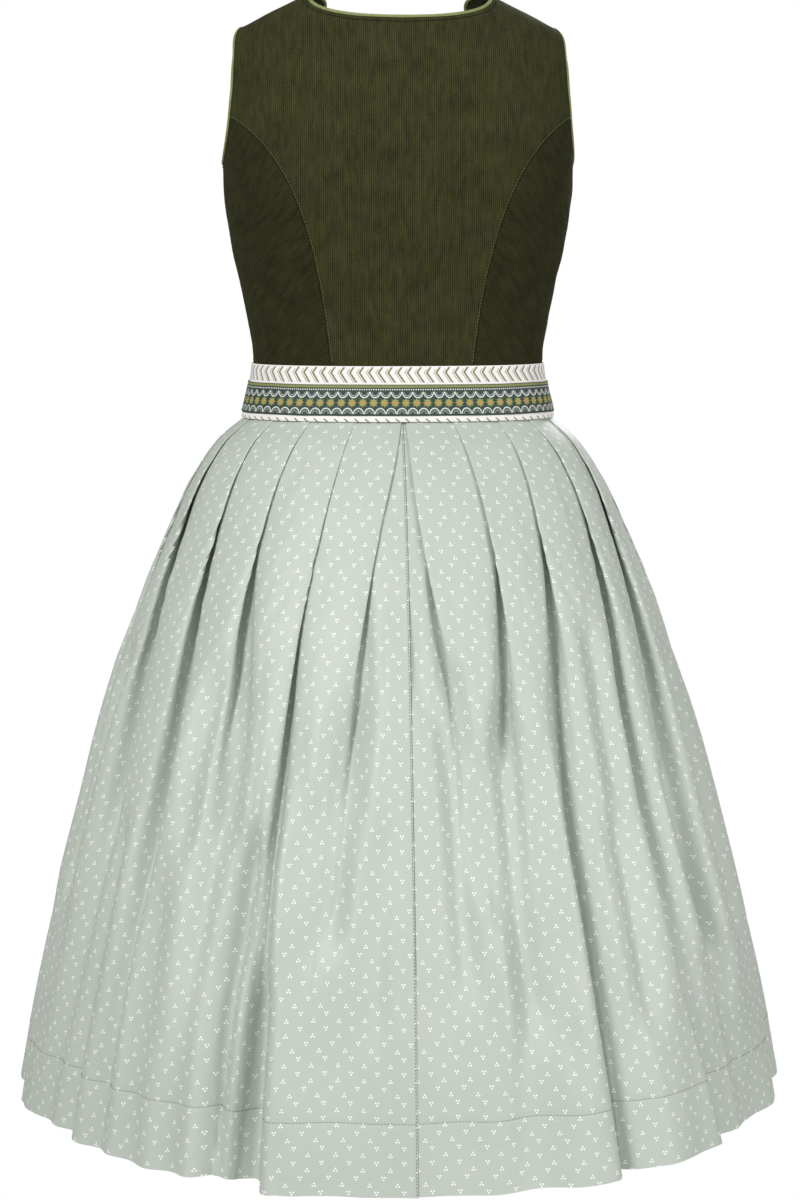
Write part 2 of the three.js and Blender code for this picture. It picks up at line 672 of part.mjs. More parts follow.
// The corners of the folded cloth at one level, as distances round the outline (u) and out of it (w).
// A pressed pleat runs under its own edge and back. Lower down the layers part, and the pleat opens
// into a hollow with a rim, a floor and the wall up to its edge.
function foldCorners(folds, level, length) {
  const read = (column) => folds.map((fold) => cubicThrough(FOLD_LEVELS, fold[column], level));
  const edges = read('edge').map((share) => share * length);
  const floors = read('floor');
  const depths = read('depth');
  const pitch = length / folds.length;
  const pressed = (CLOTH_PER_PLEAT - waistLength / folds.length - 4 * PLEAT_GAP) / 2;
  const corners = [];
  let before = 0;
  let crestBefore = -CREST * depths[0];
  edges.forEach((edge, i) => {
    const depth = depths[i];
    const under = Math.max(0, (CLOTH_PER_PLEAT - pitch - depth) / 2);
    const open = 1 - Math.min(1, under / pressed);
    const crest = lerp(PRESSED_CREST, CREST, open) * depth;
    const floor = crest - depth;
    const turn = lerp(PLEAT_GAP, WALL_TURN * depth, open);
    const lean = WALL_LEAN + WALL_LEAN_SHARE * depth;
    const rim = {
      u: lerp(edge + UNDER_RIM * under, edge - floors[i], open),
      w: lerp(-PRESSED_RIM * depth, crest, open),
    };
    const farFoot = lerp(edge + UNDER_FLOOR * under, edge - floors[i] + lean, open);
    const foot = edge + under - lean * open;
    corners.push({ u: (before + rim.u) / 2, w: lerp((crestBefore + rim.w) / 2, crest, open) });
    corners.push(rim);
    corners.push({ u: Math.min(farFoot, foot - 1), w: floor });
    corners.push({ u: foot, w: floor });
    corners.push({ u: foot, w: floor + turn });
    corners.push({ u: edge - WALL_TURN * lean * open, w: crest - turn });
    corners.push({ u: edge, w: crest });
    before = edge;
    crestBefore = crest;
  });
  corners.unshift({ u: 0, w: corners[0].w });
  corners.push({ u: (before + length) / 2, w: crestBefore });
  corners.push({ u: length, w: crestBefore });
  return corners;
}

// Offsets a level line of points to one side, keeping the cloth's thickness round its corners.
function offsetLine(line, distance) {
  return line.map((point, i) => {
    const before = line[Math.max(i - 1, 0)];
    const after = line[Math.min(i + 1, line.length - 1)];
    const arriving = new THREE.Vector2().subVectors(i === 0 ? after : point, i === 0 ? point : before);
    const leaving = new THREE.Vector2().subVectors(
      i === line.length - 1 ? point : after,
      i === line.length - 1 ? before : point,
    );
    const side = (v) => new THREE.Vector2(-v.y, v.x).normalize();
    const middle = side(arriving).add(side(leaving)).normalize();
    const stretch = Math.min(1 / Math.max(middle.dot(side(arriving)), 0.1), 1.5);
    return point.clone().addScaledVector(middle, distance * stretch);
  });
}

function skirtHalf(side) {
  const folds = side === 'left' ? FOLDS_LEFT : FOLDS_RIGHT;
  const hand = side === 'left' ? 1 : -1;
  const seamInset = GAP / 2;
  const grids = { outer: [], inner: [] };
  for (const level of SKIRT_ROWS) {
    const z = lerp(BAND_BOTTOM_Z - GAP, HEM_Z, level);
    const outline = halfOutline(z);
    const line = foldCorners(folds, level, outline.length).map(({ u, w }) => {
      const { x, y, normal } = outline.at(u);
      return new THREE.Vector2(x + normal.x * w, y + normal.y * w);
    });
    const lifted = (points) => points.map((p) => {
      const x = Math.max(p.x, seamInset) * hand;
      return new THREE.Vector3(x, p.y, z);
    });
    grids.outer.push(lifted(offsetLine(line, SKIRT_CLOTH / 2)));
    grids.inner.push(lifted(offsetLine(line, -SKIRT_CLOTH / 2)));
  }
  add(`skirt_${side}`, slab(grids.outer, grids.inner), COLOURS.skirt, 0.7);
}

// ---- Buttons on the right front ----

function buttons() {
  const profile = [
    [0, 0], [BUTTON_RADIUS * 0.82, 0], [BUTTON_RADIUS, BUTTON_THICK * 0.3],
    [BUTTON_RADIUS * 0.86, BUTTON_THICK * 0.72], [BUTTON_RADIUS * 0.45, BUTTON_THICK * 0.96],
    [0, BUTTON_THICK],
  ].map(([radius, height]) => new THREE.Vector2(radius, height));
  const shape = new THREE.LatheGeometry(profile, BUTTON_SIDES);
  evenShares(BUTTONS - 1).forEach((share, i) => {
    const z = lerp(BUTTON_FIRST_Z, BUTTON_LAST_Z, share);
    const normal = figureNormal(Math.PI, z);
    const mesh = add(`button_${i + 1}`, shape, COLOURS.button, 0.4);
    mesh.position.copy(onFigure(Math.PI, z)).addScaledVector(normal, LAP_LIFT + BUTTON_RAISE);
    mesh.quaternion.setFromUnitVectors(new THREE.Vector3(0, 1, 0), normal);
  });
}

backPanel();
sidePanels('back');
sidePanels('front');
frontPanel('left');
frontPanel('right');
neckPiping();
armholePiping();
waistband();
skirtHalf('left');
skirtHalf('right');
buttons();

export default dress;
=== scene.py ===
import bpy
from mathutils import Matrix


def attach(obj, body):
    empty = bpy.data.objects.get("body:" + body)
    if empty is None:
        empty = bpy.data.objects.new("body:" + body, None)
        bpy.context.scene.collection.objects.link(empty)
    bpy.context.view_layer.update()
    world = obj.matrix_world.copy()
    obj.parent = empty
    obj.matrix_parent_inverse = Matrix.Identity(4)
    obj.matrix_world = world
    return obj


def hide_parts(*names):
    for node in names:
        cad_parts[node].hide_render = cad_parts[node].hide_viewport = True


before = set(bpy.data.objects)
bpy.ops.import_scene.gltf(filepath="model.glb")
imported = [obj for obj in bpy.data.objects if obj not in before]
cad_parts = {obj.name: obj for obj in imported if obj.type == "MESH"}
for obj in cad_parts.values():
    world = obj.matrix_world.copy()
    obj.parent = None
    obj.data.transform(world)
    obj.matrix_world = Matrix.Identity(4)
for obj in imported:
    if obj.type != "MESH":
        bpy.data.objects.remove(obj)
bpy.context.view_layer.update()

import math

import bpy
import numpy as np
from mathutils import Vector

# A sleeveless dirndl dress in corduroy and printed cotton, filled out as if worn. Lengths in this
# script are millimetres until a mesh is made. The front faces -Y and the wearer's left is +X.

METRE = 1000.0

# ---- The dress's own sizes ----
PANEL_CLOTH = 0.9                 # thicknesses
BAND_CLOTH = 1.1
RIBBON_CLOTH = 0.6
SKIRT_CLOTH = 0.6
HEM_CLOTH = 1.1                   # the turned-up hem is two layers

NECK_POINT_X = 83                 # from the centre to where the shoulder seam meets the neckline
SHOULDER_TIP_X = 149.5            # from the centre to the shoulder seam's outer end
SHOULDER_DROP = 34
BACK_NECK_DROP = 28
FRONT_NECK_DROP = 130
FRONT_NECK_TURN = 0.39            # the angle off the centre front at which the neckline turns up
FRONT_NECK_SHARPNESS = 4
FRONT_NECK_CROWDING = 1.6         # how much closer its points stand to the centre front
BACK_NECK_FLATNESS = 2
ARMHOLE_TOP = -SHOULDER_DROP
ARMHOLE_BOTTOM = -160
ARMHOLE_BACK = 50                 # how far it reaches behind and in front of the shoulder seam
ARMHOLE_FRONT = 58
WAIST_Z = -349
BAND_BOTTOM_Z = -401
HEM_Z = -1047
HEM_DEPTH = 59                    # from the hem's edge up to its line of stitches
HEM_DROP_BACK = 15                # the hem hangs this much lower at the centre back
HEM_DROP_SIDE = 3.5
HEM_DROP_REACH = 0.27             # the share of the way round over which it rises again
HEM_DROP_POWER = 8                # how late on the way down the cloth grows longer

BUST_RISE = 11                    # the bodice's cups: how far they rise, their middles and reach
BUST_X, BUST_Z = 82, -188
BUST_REACH_X, BUST_REACH_Z = 48, 54

LAP = 9                           # how far each front runs past the centre
LAP_LIFT = 1.3                    # how far the right front is raised there, and the left one sunk
LAP_BLEND = 34                    # the distance from the centre at which they are level again

PIPING_WIDTH = 3.4
PIPING_THICK = 2.6
PIPING_ROOM = 1.5                 # the cloth runs in beside the piping to this far from its middle

RIBBON_TOP_Z = -366
RIBBON_BOTTOM_Z = -395

BUTTON_RADIUS = 5.5
BUTTON_THICK = 3.2
BUTTON_RAISE = 1.5
BUTTON_FIRST_Z = -146
BUTTON_LAST_Z = -330
BUTTONS = 7

STITCH_PITCH = 3.0
STITCH_LENGTH = 2.1
STITCH_WIDTH = 0.34
STITCH_RISE = 0.3
STITCH_SIDES = 6
# Along one stitch: the place as a share of its length, its height as a share of its rise, and its
# thickness as a share of its width.
STITCH_SECTIONS = [(-0.5, -0.25, 0.5), (-0.36, 0.55, 0.9), (0, 1, 1), (0.36, 0.55, 0.9), (0.5, -0.25, 0.5)]

# The figure's level sections: half width, depth behind and in front of the side seam, squareness.
FIGURE = {
    "z": [0, -34, -65, -100, -130, -160, -190, -230, -270, -310, -349, -401],
    "half": [83, 149.5, 165, 169.5, 169, 167, 166, 160.5, 152, 144, 139.5, 150],
    "back": [56, 80, 96, 105, 109, 110, 108, 102, 95, 89, 86, 92],
    "front": [52, 76, 92, 106, 116, 123, 126, 120, 110, 101, 96, 103],
    "square": [2.2, 2.4, 2.5, 2.5, 2.45, 2.4, 2.4, 2.35, 2.3, 2.3, 2.3, 2.25],
}

# The skirt's level outlines, with the same columns.
SKIRT = {
    "z": [-401, -423, -461, -500, -577, -654, -731, -847, -963, -1047],
    "half": [147, 172, 196, 213, 244, 268, 291, 323, 350, 366],
    "back": [89, 114, 144, 167, 203, 231, 257, 293, 323, 340],
    "front": [100, 122, 149, 170, 203, 229, 253, 286, 314, 330],
    "square": [2.25, 2.2, 2.15, 2.1, 2.1, 2.05, 2.05, 2.05, 2.05, 2.05],
}

# One row for each pleat of half the skirt, from the centre back to the centre front, with values at
# FOLD_LEVELS, which are shares of the way down: the place of its edge as a share of the way round,
# the width of the hollow beside the edge and the depth of that hollow, both in mm. soft is how far
# the hollow's two sides are eased at the hem, first its rim and then the edge, in mm, and open is
# the share of the way down by which the pleat no longer runs under its own edge.
FOLD_LEVELS = [0, 0.15, 0.4, 0.7, 1]
FOLDS_LEFT = [
    {"edge": [0.004, 0.040, 0.064, 0.076, 0.080], "floor": [0, 8, 18, 18, 20],
     "depth": [3.2, 11, 15, 5, 3], "soft": [20, 22], "open": 0.5},
    {"edge": [0.114, 0.129, 0.141, 0.151, 0.163], "floor": [0, 5, 9, 22, 42],
     "depth": [3.2, 10, 19, 27, 37], "soft": [6, 13], "open": 0.62},
    {"edge": [0.222, 0.222, 0.217, 0.210, 0.214], "floor": [0, 12, 26, 26, 24],
     "depth": [3.2, 13, 22, 14, 6], "soft": [18, 18], "open": 0.5},
    {"edge": [0.322, 0.306, 0.298, 0.296, 0.296], "floor": [0, 12, 20, 18, 16],
     "depth": [3.2, 14, 25, 24, 15], "soft": [10, 15], "open": 0.75},
    {"edge": [0.415, 0.405, 0.386, 0.378, 0.378], "floor": [0, 12, 26, 26, 26],
     "depth": [3.2, 14, 24, 22, 12], "soft": [13, 16], "open": 0.75},
    {"edge": [0.530, 0.512, 0.492, 0.484, 0.480], "floor": [0, 10, 24, 32, 38],
     "depth": [3.2, 14, 26, 30, 32], "soft": [12, 18], "open": 0.75},
    {"edge": [0.640, 0.628, 0.610, 0.596, 0.590], "floor": [0, 10, 22, 24, 26],
     "depth": [3.2, 13, 23, 20, 18], "soft": [14, 18], "open": 0.7},
    {"edge": [0.750, 0.742, 0.726, 0.716, 0.706], "floor": [0, 10, 24, 34, 44],
     "depth": [3.2, 15, 27, 34, 40], "soft": [8, 18], "open": 0.75},
    {"edge": [0.862, 0.858, 0.850, 0.846, 0.842], "floor": [0, 10, 18, 18, 20],
     "depth": [3.2, 13, 20, 16, 14], "soft": [16, 18], "open": 0.7},
]
FOLDS_RIGHT = [
    {"edge": [0.006, 0.018, 0.046, 0.040, 0.036], "floor": [0, 7, 16, 16, 16],
     "depth": [3.2, 11, 16, 6, 3], "soft": [20, 22], "open": 0.42},
    {"edge": [0.120, 0.123, 0.117, 0.110, 0.104], "floor": [0, 9, 18, 20, 22],
     "depth": [3.2, 13, 21, 12, 5], "soft": [16, 18], "open": 0.5},
    {"edge": [0.231, 0.205, 0.186, 0.180, 0.184], "floor": [0, 10, 24, 22, 18],
     "depth": [3.2, 14, 26, 36, 44], "soft": [5, 26], "open": 0.62},
    {"edge": [0.322, 0.306, 0.280, 0.276, 0.298], "floor": [0, 12, 20, 18, 16],
     "depth": [3.2, 15, 26, 30, 34], "soft": [6, 24], "open": 0.75},
    {"edge": [0.405, 0.374, 0.352, 0.345, 0.346], "floor": [0, 12, 24, 24, 26],
     "depth": [3.2, 15, 26, 24, 12], "soft": [14, 20], "open": 0.75},
    {"edge": [0.525, 0.500, 0.476, 0.462, 0.452], "floor": [0, 10, 24, 30, 34],
     "depth": [3.2, 14, 26, 28, 28], "soft": [12, 18], "open": 0.75},
    {"edge": [0.638, 0.630, 0.606, 0.590, 0.578], "floor": [0, 10, 20, 32, 42],
     "depth": [3.2, 14, 24, 32, 38], "soft": [8, 18], "open": 0.75},
    {"edge": [0.748, 0.744, 0.730, 0.722, 0.718], "floor": [0, 10, 18, 22, 24],
     "depth": [3.2, 13, 22, 18, 15], "soft": [16, 18], "open": 0.7},
    {"edge": [0.860, 0.856, 0.846, 0.836, 0.828], "floor": [0, 10, 18, 26, 32],
     "depth": [3.2, 13, 21, 24, 28], "soft": [12, 18], "open": 0.75},
]

# Creases between the pleats: each runs through places given as (share of the way round, share of
# the way down) and sinks by depth over a half width of width, in mm, between two low ridges.
CREASES_LEFT = [
    {"line": [(0.066, 0.34), (0.075, 0.53), (0.077, 0.63), (0.087, 0.74)], "depth": 11.9, "width": 13.2},
    {"line": [(0.088, 0.70), (0.082, 0.75), (0.070, 0.78), (0.050, 0.765)], "depth": 5.95, "width": 10.8},
    {"line": [(0.163, 0.52), (0.165, 0.67), (0.170, 0.80), (0.168, 1.0)], "depth": 17, "width": 13.2},
    {"line": [(0.137, 0.70), (0.137, 0.80), (0.140, 1.0)], "depth": 10.2, "width": 10.8},
    {"line": [(0.100, 0.46), (0.104, 0.60), (0.100, 0.78)], "depth": 5.1, "width": 12},
    {"line": [(0.030, 0.50), (0.034, 0.66), (0.040, 0.86)], "depth": 4.25, "width": 14.4},
    {"line": [(0.186, 0.05), (0.205, 0.09), (0.232, 0.125)], "depth": 5.1, "width": 6},
    {"line": [(0.232, 0.30), (0.240, 0.46), (0.238, 0.62)], "depth": 8.5, "width": 12},
    {"line": [(0.262, 0.60), (0.256, 0.78), (0.252, 1.0)], "depth": 6.8, "width": 14.4},
    {"line": [(0.335, 0.52), (0.334, 0.72), (0.338, 1.0)], "depth": 10.2, "width": 13.2},
    {"line": [(0.430, 0.30), (0.432, 0.50), (0.424, 0.74)], "depth": 10.2, "width": 13.2},
    {"line": [(0.545, 0.28), (0.540, 0.50), (0.534, 0.76)], "depth": 10.2, "width": 14.4},
    {"line": [(0.655, 0.55), (0.650, 0.75), (0.646, 1.0)], "depth": 10.2, "width": 14.4},
    {"line": [(0.790, 0.40), (0.784, 0.60), (0.780, 0.84)], "depth": 10.2, "width": 14.4},
    {"line": [(0.920, 0.30), (0.916, 0.52), (0.910, 0.80)], "depth": 8.5, "width": 14.4},
]
CREASES_RIGHT = [
    {"line": [(0.012, 0.24), (0.013, 0.34), (0.034, 0.43), (0.045, 0.56), (0.048, 0.80)], "depth": 6.8,
     "width": 9.6},
    {"line": [(0.034, 0.26), (0.050, 0.37), (0.060, 0.50), (0.066, 0.66)], "depth": 7.65, "width": 9.6},
    {"line": [(0.112, 0.34), (0.100, 0.45), (0.100, 0.57), (0.105, 0.71), (0.112, 0.86)], "depth": 11.9,
     "width": 13.2},
    {"line": [(0.080, 0.40), (0.078, 0.54), (0.082, 0.72)], "depth": 6.8, "width": 10.8},
    {"line": [(0.140, 0.40), (0.132, 0.54), (0.130, 0.72), (0.134, 0.90)], "depth": 6.8, "width": 10.8},
    {"line": [(0.212, 0.50), (0.216, 0.66), (0.214, 0.86)], "depth": 6.8, "width": 14.4},
    {"line": [(0.240, 0.24), (0.232, 0.40), (0.226, 0.54)], "depth": 6.8, "width": 10.8},
    {"line": [(0.315, 0.46), (0.316, 0.60), (0.328, 0.72), (0.342, 0.80)], "depth": 13.6, "width": 12},
    {"line": [(0.360, 0.72), (0.340, 0.82), (0.330, 0.86)], "depth": 5.1, "width": 10.8},
    {"line": [(0.400, 0.30), (0.398, 0.52), (0.400, 0.80)], "depth": 10.2, "width": 13.2},
    {"line": [(0.545, 0.34), (0.538, 0.56), (0.530, 0.84)], "depth": 10.2, "width": 14.4},
    {"line": [(0.655, 0.26), (0.648, 0.48), (0.640, 0.70)], "depth": 10.2, "width": 14.4},
    {"line": [(0.785, 0.50), (0.776, 0.72), (0.770, 1.0)], "depth": 10.2, "width": 14.4},
    {"line": [(0.925, 0.36), (0.920, 0.58), (0.912, 0.84)], "depth": 8.5, "width": 14.4},
]
CREASE_FADE = 0.09                # the share of the way down over which a crease starts and ends
CREASE_RIDGE = 0.32               # the height of its ridges as a share of its depth
CREASE_RIDGE_PLACE = 2.0          # how far out they stand, in half widths

CLOTH_PER_PLEAT = 135             # the flat width of cloth that one pleat takes
PLEAT_GAP = 1.0                   # the room between the layers of a pressed pleat
CREST = 0.35                      # the share of an open fold's depth that stands outside the outline
PRESSED_CREST = 0.5               # the same for a pressed pleat's edge, and for its rim inwards
PRESSED_RIM = 0.3
UNDER_RIM = 0.5                   # how far under its edge a pressed pleat's rim and floor reach
UNDER_FLOOR = 0.85
WALL_LEAN = 4                     # how far an open fold's sides lean, and the share of its depth more
WALL_LEAN_SHARE = 0.12
WALL_TURN = 0.3                   # the share of its depth over which an open fold's sides turn
WAIST_SOFT = 0.7                  # how far every corner is eased at the waist
PANEL_SOFT = 8                    # how much more the middle of a panel is eased at the hem
OPENING_START = 0.3               # the share of its "open" by which a pleat begins to open


# ---- Reading the tables ----

def cubic_through(positions, values, at):
    """A cubic through the values, with slopes from each value's neighbours."""
    positions = np.asarray(positions, float)
    values = np.asarray(values, float)
    last = len(positions) - 1
    place = np.clip(at, positions[0], positions[-1])
    i = np.clip(np.searchsorted(positions, place, side="left") - 1, 0, last - 1)
    before = np.maximum(np.arange(last + 1) - 1, 0)
    after = np.minimum(np.arange(last + 1) + 1, last)
    slopes = (values[after] - values[before]) / (positions[after] - positions[before])
    width = positions[i + 1] - positions[i]
    t = (place - positions[i]) / width
    rise = values[i + 1] - values[i]
    start = slopes[i] * width
    end = slopes[i + 1] * width
    return values[i] + t * (start + t * (3 * rise - 2 * start - end + t * (start + end - 2 * rise)))


def read_table(table, column, z):
    return cubic_through([-height for height in table["z"]], table[column], -np.asarray(z, float))


def figure_section(z):
    z = np.asarray(z, float)
    shoulder = NECK_POINT_X + (SHOULDER_TIP_X - NECK_POINT_X) * -z / SHOULDER_DROP
    half = np.where(z > ARMHOLE_TOP, np.maximum(shoulder, NECK_POINT_X), read_table(FIGURE, "half", z))
    back, front, square = (read_table(FIGURE, column, z) for column in ("back", "front", "square"))
    return half, back, front, square


def on_section(section, angle):
    half, back, front, square = section
    power = 2 / square
    across = np.sin(angle)
    along = np.cos(angle)
    depth = np.where(along > 0, back, front)
    x = np.sign(across) * half * np.abs(across) ** power
    y = np.sign(along) * depth * np.abs(along) ** power
    return x, y


def smoothstep(value, low, high):
    t = np.clip((np.asarray(value, float) - low) / (high - low), 0, 1)
    return t * t * (3 - 2 * t)


def on_figure(angle, z):
    angle, z = np.broadcast_arrays(np.asarray(angle, float), np.asarray(z, float))
    x, y = on_section(figure_section(z), angle)
    across_cup = (np.abs(x) - BUST_X) / BUST_REACH_X
    up_cup = (z - BUST_Z) / BUST_REACH_Z
    cup = BUST_RISE * smoothstep(-np.cos(angle), 0, 0.6) * np.exp(-across_cup ** 2 - up_cup ** 2)
    return np.stack([x, y - cup, z], -1)


def unit(vectors):
    length = np.linalg.norm(vectors, axis=-1, keepdims=True)
    return vectors / np.maximum(length, 1e-9)


def figure_normal(angle, z):
    round_step = on_figure(angle + 0.01, z) - on_figure(angle - 0.01, z)
    up_step = on_figure(angle, z + 1.5) - on_figure(angle, z - 1.5)
    return unit(np.cross(up_step, round_step))


def angle_at_x(x, z, facing):
    half, _, _, square = figure_section(z)
    turn = np.arcsin(np.minimum(1, np.abs(x) / half) ** (square / 2))
    return turn if facing == "back" else math.pi - turn


def angle_at_depth(depth, z, facing):
    _, back, front, square = figure_section(z)
    limit = back if facing == "back" else front
    turn = np.arccos(np.minimum(1, depth / limit) ** (square / 2))
    return turn if facing == "back" else math.pi - turn


# ---- Seam lines and edges of the left half: share 0 to 1 -> (angle, z) ----

def armhole(share):
    turn = np.asarray(share, float) * 2 * math.pi
    middle = (ARMHOLE_TOP + ARMHOLE_BOTTOM) / 2
    z = middle + (ARMHOLE_TOP - ARMHOLE_BOTTOM) / 2 * np.cos(turn)
    reach = np.abs(np.sin(turn))
    behind = angle_at_depth(ARMHOLE_BACK * reach, z, "back")
    before = angle_at_depth(ARMHOLE_FRONT * reach, z, "front")
    return np.where(np.sin(turn) >= 0, behind, before), z


BACK_SEAM_END = 0.306
FRONT_SEAM_END = 0.716
BACK_SEAM = [(67, WAIST_Z), (78, -240), (100, -156), (156, -119)]
FRONT_SEAM = [(64, WAIST_Z), (78, -262), (90, -152), (152, -110)]


def seam(points, facing, end_share):
    points = np.array(points, float)
    last = on_figure(*armhole(end_share))

    def line(share):
        t = np.asarray(share, float)[..., None]
        a, b, c, d = points
        flat = a * (1 - t) ** 3 + 3 * b * t * (1 - t) ** 2 + 3 * c * t ** 2 * (1 - t) + d * t ** 3
        x = flat[..., 0] + t[..., 0] ** 3 * (last[0] - points[3, 0])
        z = flat[..., 1] + t[..., 0] ** 3 * (last[2] - points[3, 1])
        return angle_at_x(x, z, facing), z
    return line


back_seam = seam(BACK_SEAM, "back", BACK_SEAM_END)
front_seam = seam(FRONT_SEAM, "front", FRONT_SEAM_END)


def back_neckline(share):
    angle = np.asarray(share, float) * math.pi / 2
    return angle, -BACK_NECK_DROP * np.cos(angle) ** BACK_NECK_FLATNESS


def front_neckline(share):
    from_front = np.asarray(share, float) ** FRONT_NECK_CROWDING * math.pi / 2
    fall = np.cos(from_front) / (1 + (from_front / FRONT_NECK_TURN) ** FRONT_NECK_SHARPNESS)
    return math.pi - from_front, -FRONT_NECK_DROP * fall


def straight(start, end):
    def line(share):
        share = np.asarray(share, float)
        return start[0] + (end[0] - start[0]) * share, start[1] + (end[1] - start[1]) * share
    return line


def part_of(line, start, end):
    return lambda share: line(start + (end - start) * np.asarray(share, float))


def by_length(line):
    """The same line, with equal shares for equal lengths on the figure."""
    shares = np.linspace(0, 1, 241)
    points = on_figure(*line(shares))
    lengths = np.concatenate([[0], np.cumsum(np.linalg.norm(np.diff(points, axis=0), axis=1))])
    return lambda share: line(np.interp(np.asarray(share, float) * lengths[-1], lengths, shares))


def chain(lines, breaks):
    """Lines joined end to end; breaks are the shares at which one ends and the next starts."""
    ends = [0, *breaks, 1]
    even = [by_length(line) for line in lines]

    def line(share):
        share = np.asarray(share, float)
        angle = np.zeros(share.shape)
        z = np.zeros(share.shape)
        for i, piece in enumerate(even):
            mine = (share >= ends[i]) if i else np.ones(share.shape, bool)
            local = np.clip((share - ends[i]) / (ends[i + 1] - ends[i]), 0, 1)
            piece_angle, piece_z = piece(local)
            angle = np.where(mine, piece_angle, angle)
            z = np.where(mine, piece_z, z)
        return angle, z
    return line


def patch(bottom, top, inner, outer, shares, rises):
    """Places (angle, z) on a grid of rises by shares, blended to follow all four edges."""
    s = np.asarray(shares)[None, :]
    r = np.asarray(rises)[:, None]
    result = []
    for key in (0, 1):
        low, high = bottom(np.asarray(shares))[key][None, :], top(np.asarray(shares))[key][None, :]
        near, far = inner(np.asarray(rises))[key][:, None], outer(np.asarray(rises))[key][:, None]
        corners = [line(np.array([0.0, 1.0]))[key] for line in (bottom, top)]
        level = corners[0][0] * (1 - s) + corners[0][1] * s
        upper = corners[1][0] * (1 - s) + corners[1][1] * s
        blended = near * (1 - s) + far * s + low * (1 - r) + high * r - level * (1 - r) - upper * r
        result.append(blended)
    return result


# ---- Cloth coordinates on the figure ----

GRID_ANGLES = np.linspace(0, math.pi * 1.08, 260)
GRID_HEIGHTS = np.linspace(0, BAND_BOTTOM_Z, 140)


def round_lengths():
    """The distance round the figure from the centre back, for each of GRID_HEIGHTS and GRID_ANGLES."""
    points = on_figure(GRID_ANGLES[None, :], GRID_HEIGHTS[:, None])
    steps = np.linalg.norm(np.diff(points, axis=1), axis=2)
    return np.concatenate([np.zeros((len(GRID_HEIGHTS), 1)), np.cumsum(steps, axis=1)], axis=1)


ROUND_LENGTHS = round_lengths()


def cloth_place(angle, z):
    """Flat cloth coordinates: the distance round from the centre back, and the height."""
    row = np.clip(-z / -BAND_BOTTOM_Z * (len(GRID_HEIGHTS) - 1), 0, len(GRID_HEIGHTS) - 1.001)
    column = np.clip(angle / GRID_ANGLES[-1] * (len(GRID_ANGLES) - 1), 0, len(GRID_ANGLES) - 1.001)
    i, j = row.astype(int), column.astype(int)
    fi, fj = row - i, column - j
    near = ROUND_LENGTHS[i, j] * (1 - fj) + ROUND_LENGTHS[i, j + 1] * fj
    far = ROUND_LENGTHS[i + 1, j] * (1 - fj) + ROUND_LENGTHS[i + 1, j + 1] * fj
    return np.stack([near * (1 - fi) + far * fi, z], -1)


# ---- Lines along the openings' edges ----

def along(line, count, hand):
    """Evenly spaced points on a line, the way out of the figure and the way onto the cloth."""
    even = by_length(line)
    share = np.linspace(0, 1, count + 1)
    angle, z = even(share)
    forward = on_figure(*even(np.minimum(share + 0.01, 1))) - on_figure(*even(np.maximum(share - 0.01, 0)))
    normal = figure_normal(angle, z)
    return {"point": on_figure(angle, z), "normal": normal, "onto": unit(np.cross(normal, forward)) * hand}


armhole_line = along(armhole, 160, 1)
front_neck_line = along(front_neckline, 90, -1)
back_neck_line = along(back_neckline, 60, 1)


def beside(points, line):
    """How far each point lies from a line, square to it on the cloth's side, and the way there."""
    start = line["point"][:-1]
    step = line["point"][1:] - start
    offset = points[:, None, :] - start[None]
    share = np.clip((offset * step[None]).sum(-1) / (step ** 2).sum(-1)[None], 0, 1)
    nearest = start[None] + share[..., None] * step[None]
    distance = np.linalg.norm(points[:, None, :] - nearest, axis=-1)
    best = distance.argmin(1)
    rows = np.arange(len(points))
    onto = line["onto"][best]
    return ((points - nearest[rows, best]) * onto).sum(-1), distance[rows, best], onto


def clear_of_piping(points):
    """The points, moved back onto the cloth until they are PIPING_ROOM from every piping's middle."""
    shape = points.shape
    moved = points.reshape(-1, 3).copy()
    distances = []
    for line in (armhole_line, front_neck_line, back_neck_line):
        square, distance, onto = beside(moved, line)
        near = distance < 12
        shift = np.where(near, np.maximum(0, PIPING_ROOM - square), 0)
        moved += onto * shift[:, None]
        distances.append(np.where(near, np.maximum(square, PIPING_ROOM), distance).reshape(shape[:-1]))
    return moved.reshape(shape), distances


# ---- Meshes ----

def grid_faces(rows, columns, start=0):
    """Quads over a grid of vertices, as an array of four indices each."""
    r, c = np.meshgrid(np.arange(rows - 1), np.arange(columns - 1), indexing="ij")
    first = start + r * columns + c
    return np.stack([first, first + 1, first + columns + 1, first + columns], -1).reshape(-1, 4)


def grid_normals(points):
    across = np.gradient(points, axis=1)
    down = np.gradient(points, axis=0)
    return unit(np.cross(across, down))


